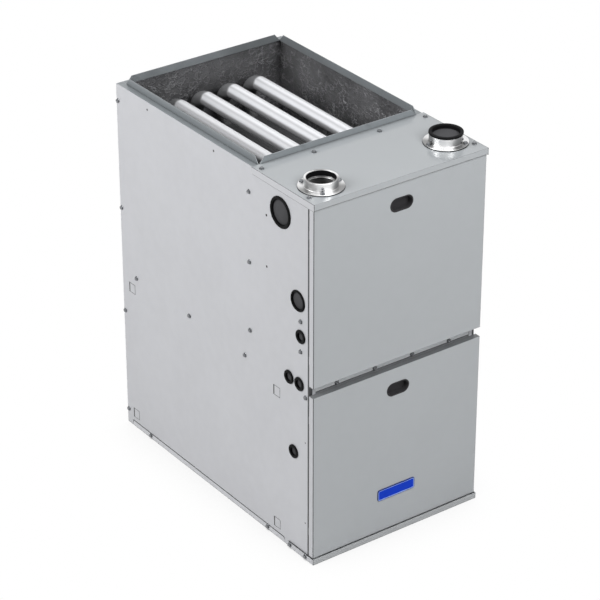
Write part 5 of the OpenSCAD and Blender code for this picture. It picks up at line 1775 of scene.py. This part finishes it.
@dataclass
class Collars(SubAssembly):
    """The two pipe collars, their gaskets and screws, and the rubber cap."""

    intake: tuple[float, float] = (-162.0 * MM, -305.0 * MM)
    vent: tuple[float, float] = (170.7 * MM, -291.5 * MM)
    flange_z: float = 865.0 * MM
    flange_r: float = 48.6 * MM
    flange_t: float = 2.0 * MM
    ring_r: float = 35.9 * MM
    bore_r: float = 31.4 * MM
    top_z: float = 885.0 * MM
    ledge_z: float = 871.0 * MM
    ledge_r: float = 27.15 * MM
    skirt_r: float = 32.05 * MM
    skirt_bore_r: float = 30.45 * MM
    skirt_z: float = 848.8 * MM
    screw_r: float = 42.25 * MM
    intake_turns: tuple[float, ...] = (123.0, -6.0, -122.0)
    vent_turns: tuple[float, ...] = (173.0, -54.0, 60.0)
    set_screw_r: float = 2.4 * MM
    set_screw_len: float = 2.2 * MM
    set_screw_foot: float = 4.0 * MM
    set_screw_steps: Pairs = ((0.0, 1.0), (0.6, 1.0), (0.9, 0.85), (1.0, 0.55))
    collar_soft: float = 0.7 * MM
    collar_shoulder: float = 1.2 * MM
    collar_rise: float = 1.6 * MM
    ledge_t: float = 2.0 * MM
    gasket_t: float = 1.0 * MM
    gasket_over: float = 0.3 * MM
    gasket_round: float = 0.15 * MM
    sleeve_gap: float = 0.02 * MM
    sleeve_profile: Pairs = metres(
        (0.0, 2.0),
        (0.0, 12.4),
        (0.5, 12.8),
        (1.0, 12.4),
        (0.9, 8.0),
        (1.1, 7.0),
        (0.9, 6.0),
        (0.9, 2.0),
    )
    cap_r: float = 37.0 * MM
    cap_soft: float = 1.4 * MM
    cap_profile: Pairs = metres(
        (6.4, -11.0),
        (5.9, -0.5),
        (5.9, 0.0),
        (0.0, 0.0),
        (0.0, 5.0),
        (6.6, 5.0),
        (7.6, 3.0),
        (7.8, -4.0),
        (16.0, -4.0),
    )
    cap_disc: Pairs = metres((7.9, -4.1), (8.0, -3.8), (20.0, -3.7), (30.0, -3.6))

    def ring(self, name: str, node: str, place: tuple[float, float], finish: TurnedMetal) -> None:
        """Makes one collar.

        Args:
            name: The piece's name.
            node: The node that it replaces.
            place: Its axis along X and Y.
            finish: Its turned metal.
        """
        seat = Seat(Vector((*place, self.flange_z)), Facing.TOP)
        heights = (self.top_z, self.ledge_z, self.ledge_z - self.ledge_t, self.skirt_z)
        top, ledge, ledge_low, skirt = (z - self.flange_z for z in heights)
        section = [
            (self.skirt_r, 0.0),
            (self.flange_r, 0.0),
            (self.flange_r, self.flange_t),
            (self.ring_r + self.collar_shoulder, self.flange_t),
            (self.ring_r, self.flange_t + self.collar_rise),
            (self.ring_r, top),
            (self.bore_r, top),
            (self.bore_r, ledge),
            (self.ledge_r, ledge),
            (self.ledge_r, ledge_low),
            (self.skirt_bore_r, ledge_low),
            (self.skirt_bore_r, skirt),
            (self.skirt_r, skirt),
            (self.skirt_r, -self.gasket_t),
        ]
        profile = [(self.flange_r - r, h) for r, h in softened(section, self.collar_soft)]
        skin = Skin()
        skin.raised(seat, round_outline(self.flange_r, 128), profile, joined=True)
        self.shop.place(skin.object(name, 40.0), Body.CASING, "collar_metal", finish, node)

    def sleeve(self) -> None:
        """Makes the rubber sleeve that seals the intake pipe in its collar."""
        seat = Seat(Vector((*self.intake, self.ledge_z)), Facing.TOP)
        skin = Skin()
        outline = round_outline(self.bore_r - self.sleeve_gap)
        skin.raised(seat, outline, self.sleeve_profile, joined=True)
        self.shop.place(skin.object("intake_sleeve", 50.0), Body.CASING, "rubber_black", RUBBER)

    def gaskets(self) -> None:
        """Makes the gaskets under the flanges."""
        skin = Skin()
        width = self.flange_r - self.skirt_r
        profile = [
            (width, -self.gasket_t),
            (self.gasket_round, -self.gasket_t),
            (0.0, -self.gasket_t / 2),
            (self.gasket_round, 0.0),
            (width, 0.0),
        ]
        for place in (self.intake, self.vent):
            seat = Seat(Vector((*place, self.flange_z)), Facing.TOP)
            outline = round_outline(self.flange_r + self.gasket_over)
            skin.raised(seat, outline, profile, joined=True)
        made = skin.object("flange_gaskets")
        self.shop.place(made, Body.CASING, "rubber_black", RUBBER, "collar_gaskets")

    def screws(self) -> None:
        """Makes the flange screws and the set screws."""
        skin, screw = Skin(), SheetScrew()
        for place, turns in ((self.intake, self.intake_turns), (self.vent, self.vent_turns)):
            for turn in turns:
                a = math.radians(turn)
                ray = Vector((math.cos(a), math.sin(a), 0.0))
                foot = Vector((*place, self.flange_z + self.flange_t)) + ray * self.screw_r
                screw.add(skin, Seat(foot, Facing.TOP, a))
                height = (self.flange_z + self.flange_t + self.top_z) / 2
                start = Vector((*place, height)) + ray * self.ring_r
                path = [start - ray * self.set_screw_foot]
                path += [start + ray * self.set_screw_len * out for out, _ in self.set_screw_steps]
                radii = [self.set_screw_r / 2]
                radii += [self.set_screw_r * share for _, share in self.set_screw_steps]
                skin.rings(swept(path, radii, Vector((0, 0, 1)), 20))
        made = skin.object("collar_screw_heads", 30.0)
        self.shop.place(made, Body.CASING, "screw_metal", SCREW, "collar_screws")

    def cap(self) -> None:
        """Makes the rubber cap in the vent collar."""
        seat = Seat(Vector((*self.vent, self.top_z)), Facing.TOP)
        skin, disc = Skin(), Skin()
        skin.raised(seat, round_outline(self.cap_r), softened(self.cap_profile, self.cap_soft))
        made = skin.object("vent_cap_rubber", 50.0)
        self.shop.place(made, Body.VENT_CAP, "rubber_black", RUBBER, "vent_cap")
        disc.raised(seat, round_outline(self.cap_r), self.cap_disc)
        self.shop.place(disc.object("vent_cap_disc", 50.0), Body.VENT_CAP, "rubber_black", RECESS)

    def pieces(self) -> None:
        """Makes the pieces."""
        self.ring("intake_collar_ring", "intake_collar", self.intake, INTAKE)
        self.ring("vent_collar_ring", "vent_collar", self.vent, VENT)
        self.sleeve()
        self.gaskets()
        self.screws()
        self.cap()


@dataclass
class SideFittings(SubAssembly):
    """Hole plugs and wire grommets in the side walls."""

    wall_x: float = 222.25 * MM
    plugs: tuple[tuple[float, float, float], ...] = (
        (-248.7 * MM, 799.8 * MM, 35.0 * MM),
        (-308.7 * MM, 621.5 * MM, 24.0 * MM),
    )
    grommets: tuple[tuple[float, float], ...] = (
        (-318.3 * MM, 541.6 * MM),
        (-313.6 * MM, 426.6 * MM),
        (-277.1 * MM, 426.6 * MM),
        (-293.3 * MM, 251.5 * MM),
    )
    recess_share: float = 0.2
    disc_share: float = 0.8
    disc_low: float = -1.0 * MM
    plug_soft: float = 0.9 * MM
    plug_rim: Pairs = metres(
        (5.0, -7.0),
        (3.7, -5.0),
        (3.7, 0.0),
        (0.0, 0.0),
        (0.0, 1.6),
        (2.0, 3.5),
    )
    plug_recess: Pairs = metres((-1.4, 3.5), (0.0, 1.8), (0.4, -1.5), (2.0, -1.5))
    plug_disc: Pairs = metres((0.5, -1.6), (0.7, -1.35), (2.6, -1.3), (3.0, -1.0))
    grommet_r: float = 15.5 * MM
    bore_r: float = 9.5 * MM
    grommet_soft: float = 1.1 * MM
    grommet_rim: Pairs = metres(
        (1.0, -3.7),
        (1.0, -1.2),
        (3.2, -1.2),
        (3.2, 0.0),
        (0.0, 0.0),
        (0.0, 3.0),
    )
    bore_start: Pairs = metres((0.0, -1.0), (0.0, -3.7))
    bore_end: Pairs = metres((0.0, 3.0), (0.0, 1.0))
    web: Pairs = metres((-1.0, -2.6), (-1.0, -1.9), (3.0, -1.7), (6.0, -2.4))
    web_end: tuple[float, float] = (0.6 * MM, -2.4 * MM)

    def seats(self, y: float, z: float) -> list[Seat]:
        """The same place on both walls."""
        sides = ((-1, Facing.LEFT), (1, Facing.RIGHT))
        return [Seat(Vector((side * self.wall_x, y, z)), facing) for side, facing in sides]

    def make_plugs(self) -> None:
        """Makes the hole plugs."""
        skin, discs = Skin(), Skin()
        for y, z, r in self.plugs:
            recess = r * self.recess_share
            profile = [*self.plug_rim, *shifted(self.plug_recess, recess)]
            disc = [*shifted(self.plug_disc, recess), (r * self.disc_share, self.disc_low)]
            for seat in self.seats(y, z):
                skin.raised(seat, round_outline(r), softened(profile, self.plug_soft))
                discs.raised(seat, round_outline(r, 72), disc)
        made = skin.object("hole_plug_bodies", 50.0)
        self.shop.place(made, Body.CASING, "rubber_black", RUBBER, "hole_plugs")
        self.shop.place(discs.object("hole_plug_discs", 50.0), Body.CASING, "rubber_black", RECESS)

    def make_grommets(self) -> None:
        """Makes the wire grommets."""
        skin, webs = Skin(), Skin()
        bore = self.grommet_r - self.bore_r
        rim = [*shifted(self.bore_start, bore), *self.grommet_rim, *shifted(self.bore_end, bore)]
        web = [*shifted(self.web, bore), (self.grommet_r - self.web_end[0], self.web_end[1])]
        for y, z in self.grommets:
            for seat in self.seats(y, z):
                outline = round_outline(self.grommet_r, 64)
                skin.raised(seat, outline, softened(rim, self.grommet_soft), joined=True)
                webs.raised(seat, round_outline(self.grommet_r, 48), web)
        made = skin.object("wire_grommet_rings", 50.0)
        self.shop.place(made, Body.CASING, "rubber_black", RUBBER, "wire_grommets")
        self.shop.place(webs.object("grommet_webs", 50.0), Body.CASING, "rubber_black", RECESS)

    def pieces(self) -> None:
        """Makes the pieces."""
        self.make_plugs()
        self.make_grommets()


@dataclass
class HeatExchanger(SubAssembly):
    """The serpentine tubes, the collector and the condensing coil."""

    dressed: Dressed = (
        (SPUN, ("tube_spacer", "rear_collector_box", "condensing_coil")),
        (GALVANISED, ("coil_brackets",)),
        (BLACK_PLASTIC, ("cold_header",)),
    )
    tube_r: float = 16.7 * MM
    tube_points: int = 56
    straight_steps: int = 24
    bend_steps: int = 28
    wall: float = 1.0 * MM
    xs: tuple[float, ...] = (-106.8 * MM, -35.6 * MM, 35.6 * MM, 106.8 * MM)
    passes: tuple[float, ...] = (804.0 * MM, 708.0 * MM, 628.0 * MM)
    rear_y: float = 284.0 * MM
    front_y: float = -66.1 * MM
    start_y: float = -152.0 * MM
    end_y: float = 259.5 * MM

    def straight(self, y0: float, y1: float, z: float, x: float) -> list[Vector]:
        """Points of a straight pass."""
        steps = self.straight_steps
        return [Vector((x, y0 + (y1 - y0) * k / steps, z)) for k in range(steps + 1)]

    def bend(self, y: float, upper: int, way: int, x: float) -> list[Vector]:
        """Points of a half turn downward from one pass to the next.

        Args:
            y: Middle of the bend along Y.
            upper: Number of the pass that it starts from.
            way: 1 for a bend at the rear and -1 for one at the front.
            x: Its place along X.

        Returns:
            Its points without the two ends.
        """
        angles = [math.pi * k / self.bend_steps for k in range(1, self.bend_steps)]
        r = (self.passes[upper] - self.passes[upper + 1]) / 2
        z = self.passes[upper] - r
        return [Vector((x, y + way * r * math.sin(a), z + r * math.cos(a))) for a in angles]

    def tubes(self) -> None:
        """Makes the tubes with their wall."""
        skin = Skin()
        for x in self.xs:
            path = self.straight(self.start_y, self.rear_y, self.passes[0], x)
            path += self.bend(self.rear_y, 0, 1, x)
            path += self.straight(self.rear_y, self.front_y, self.passes[1], x)
            path += self.bend(self.front_y, 1, -1, x)
            path += self.straight(self.front_y, self.end_y, self.passes[2], x)
            faces = [
                swept(path, [radius] * len(path), Vector((1, 0, 0)), self.tube_points)
                for radius in (self.tube_r, self.tube_r - self.wall)
            ]
            skin.rings(faces[0] + faces[1][::-1], joined=True)
        made = skin.object("heat_exchanger_serpentines", 60.0)
        self.shop.place(made, Body.CASING, "tube_metal", TUBE, "heat_exchanger_tubes")

    def pieces(self) -> None:
        """Makes the pieces."""
        self.tubes()


@dataclass
class BurnerTrain(SubAssembly):
    """Burner box, burners, manifold, valve and sensors."""

    dressed: Dressed = (
        (GALVANISED, ("burner_box", "burners")),
        (IRON, ("gas_manifold",)),
        (BRASS, ("gas_orifices",)),
        (SPUN, ("gas_valve",)),
        (BLACK_PLASTIC, ("gas_valve_knob", "rollout_switch")),
        (CERAMIC, ("igniter", "flame_sensor")),
        (RED, ("rollout_reset_button",)),
    )


@dataclass
class Inducer(SubAssembly):
    """Inducer, vent pipe, pressure switch and trap."""

    dressed: Dressed = (
        (BLACK_PLASTIC, ("inducer_housing", "inducer_wheel")),
        (BLACK_ENAMEL, ("inducer_motor",)),
        (WHITE_PLASTIC, ("vent_pipe",)),
        (GREY_PLASTIC, ("pressure_switch", "condensate_trap")),
    )


@dataclass
class Blower(SubAssembly):
    """Blower housing, wheel and motor."""

    dressed: Dressed = (
        (GALVANISED, ("blower_housing", "motor_mount")),
        (SPUN, ("blower_wheel",)),
        (BLACK_ENAMEL, ("blower_motor",)),
    )


@dataclass
class Controls(SubAssembly):
    """Control board, transformer, junction box and door switch."""

    dressed: Dressed = (
        (GALVANISED, ("control_bracket", "junction_box")),
        (BOARD, ("control_board",)),
        (LAMINATION, ("transformer",)),
        (BLACK_PLASTIC, ("door_switch",)),
        (WHITE_PLASTIC, ("door_switch_plunger",)),
    )


def main(frame: dict[str, Any]) -> None:
    """Builds everything in order.
    """
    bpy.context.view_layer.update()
    shop = Shop(frame)
    Stage().build()
    outer = (Casing, Doors, Collars, SideFittings)
    inner = (HeatExchanger, BurnerTrain, Inducer, Blower, Controls)
    for part in outer + inner:
        part(shop).build()


if __name__ == "__main__":
    logging.basicConfig(level=logging.INFO, format="%(name)s: %(message)s")
    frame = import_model()
    main(frame)
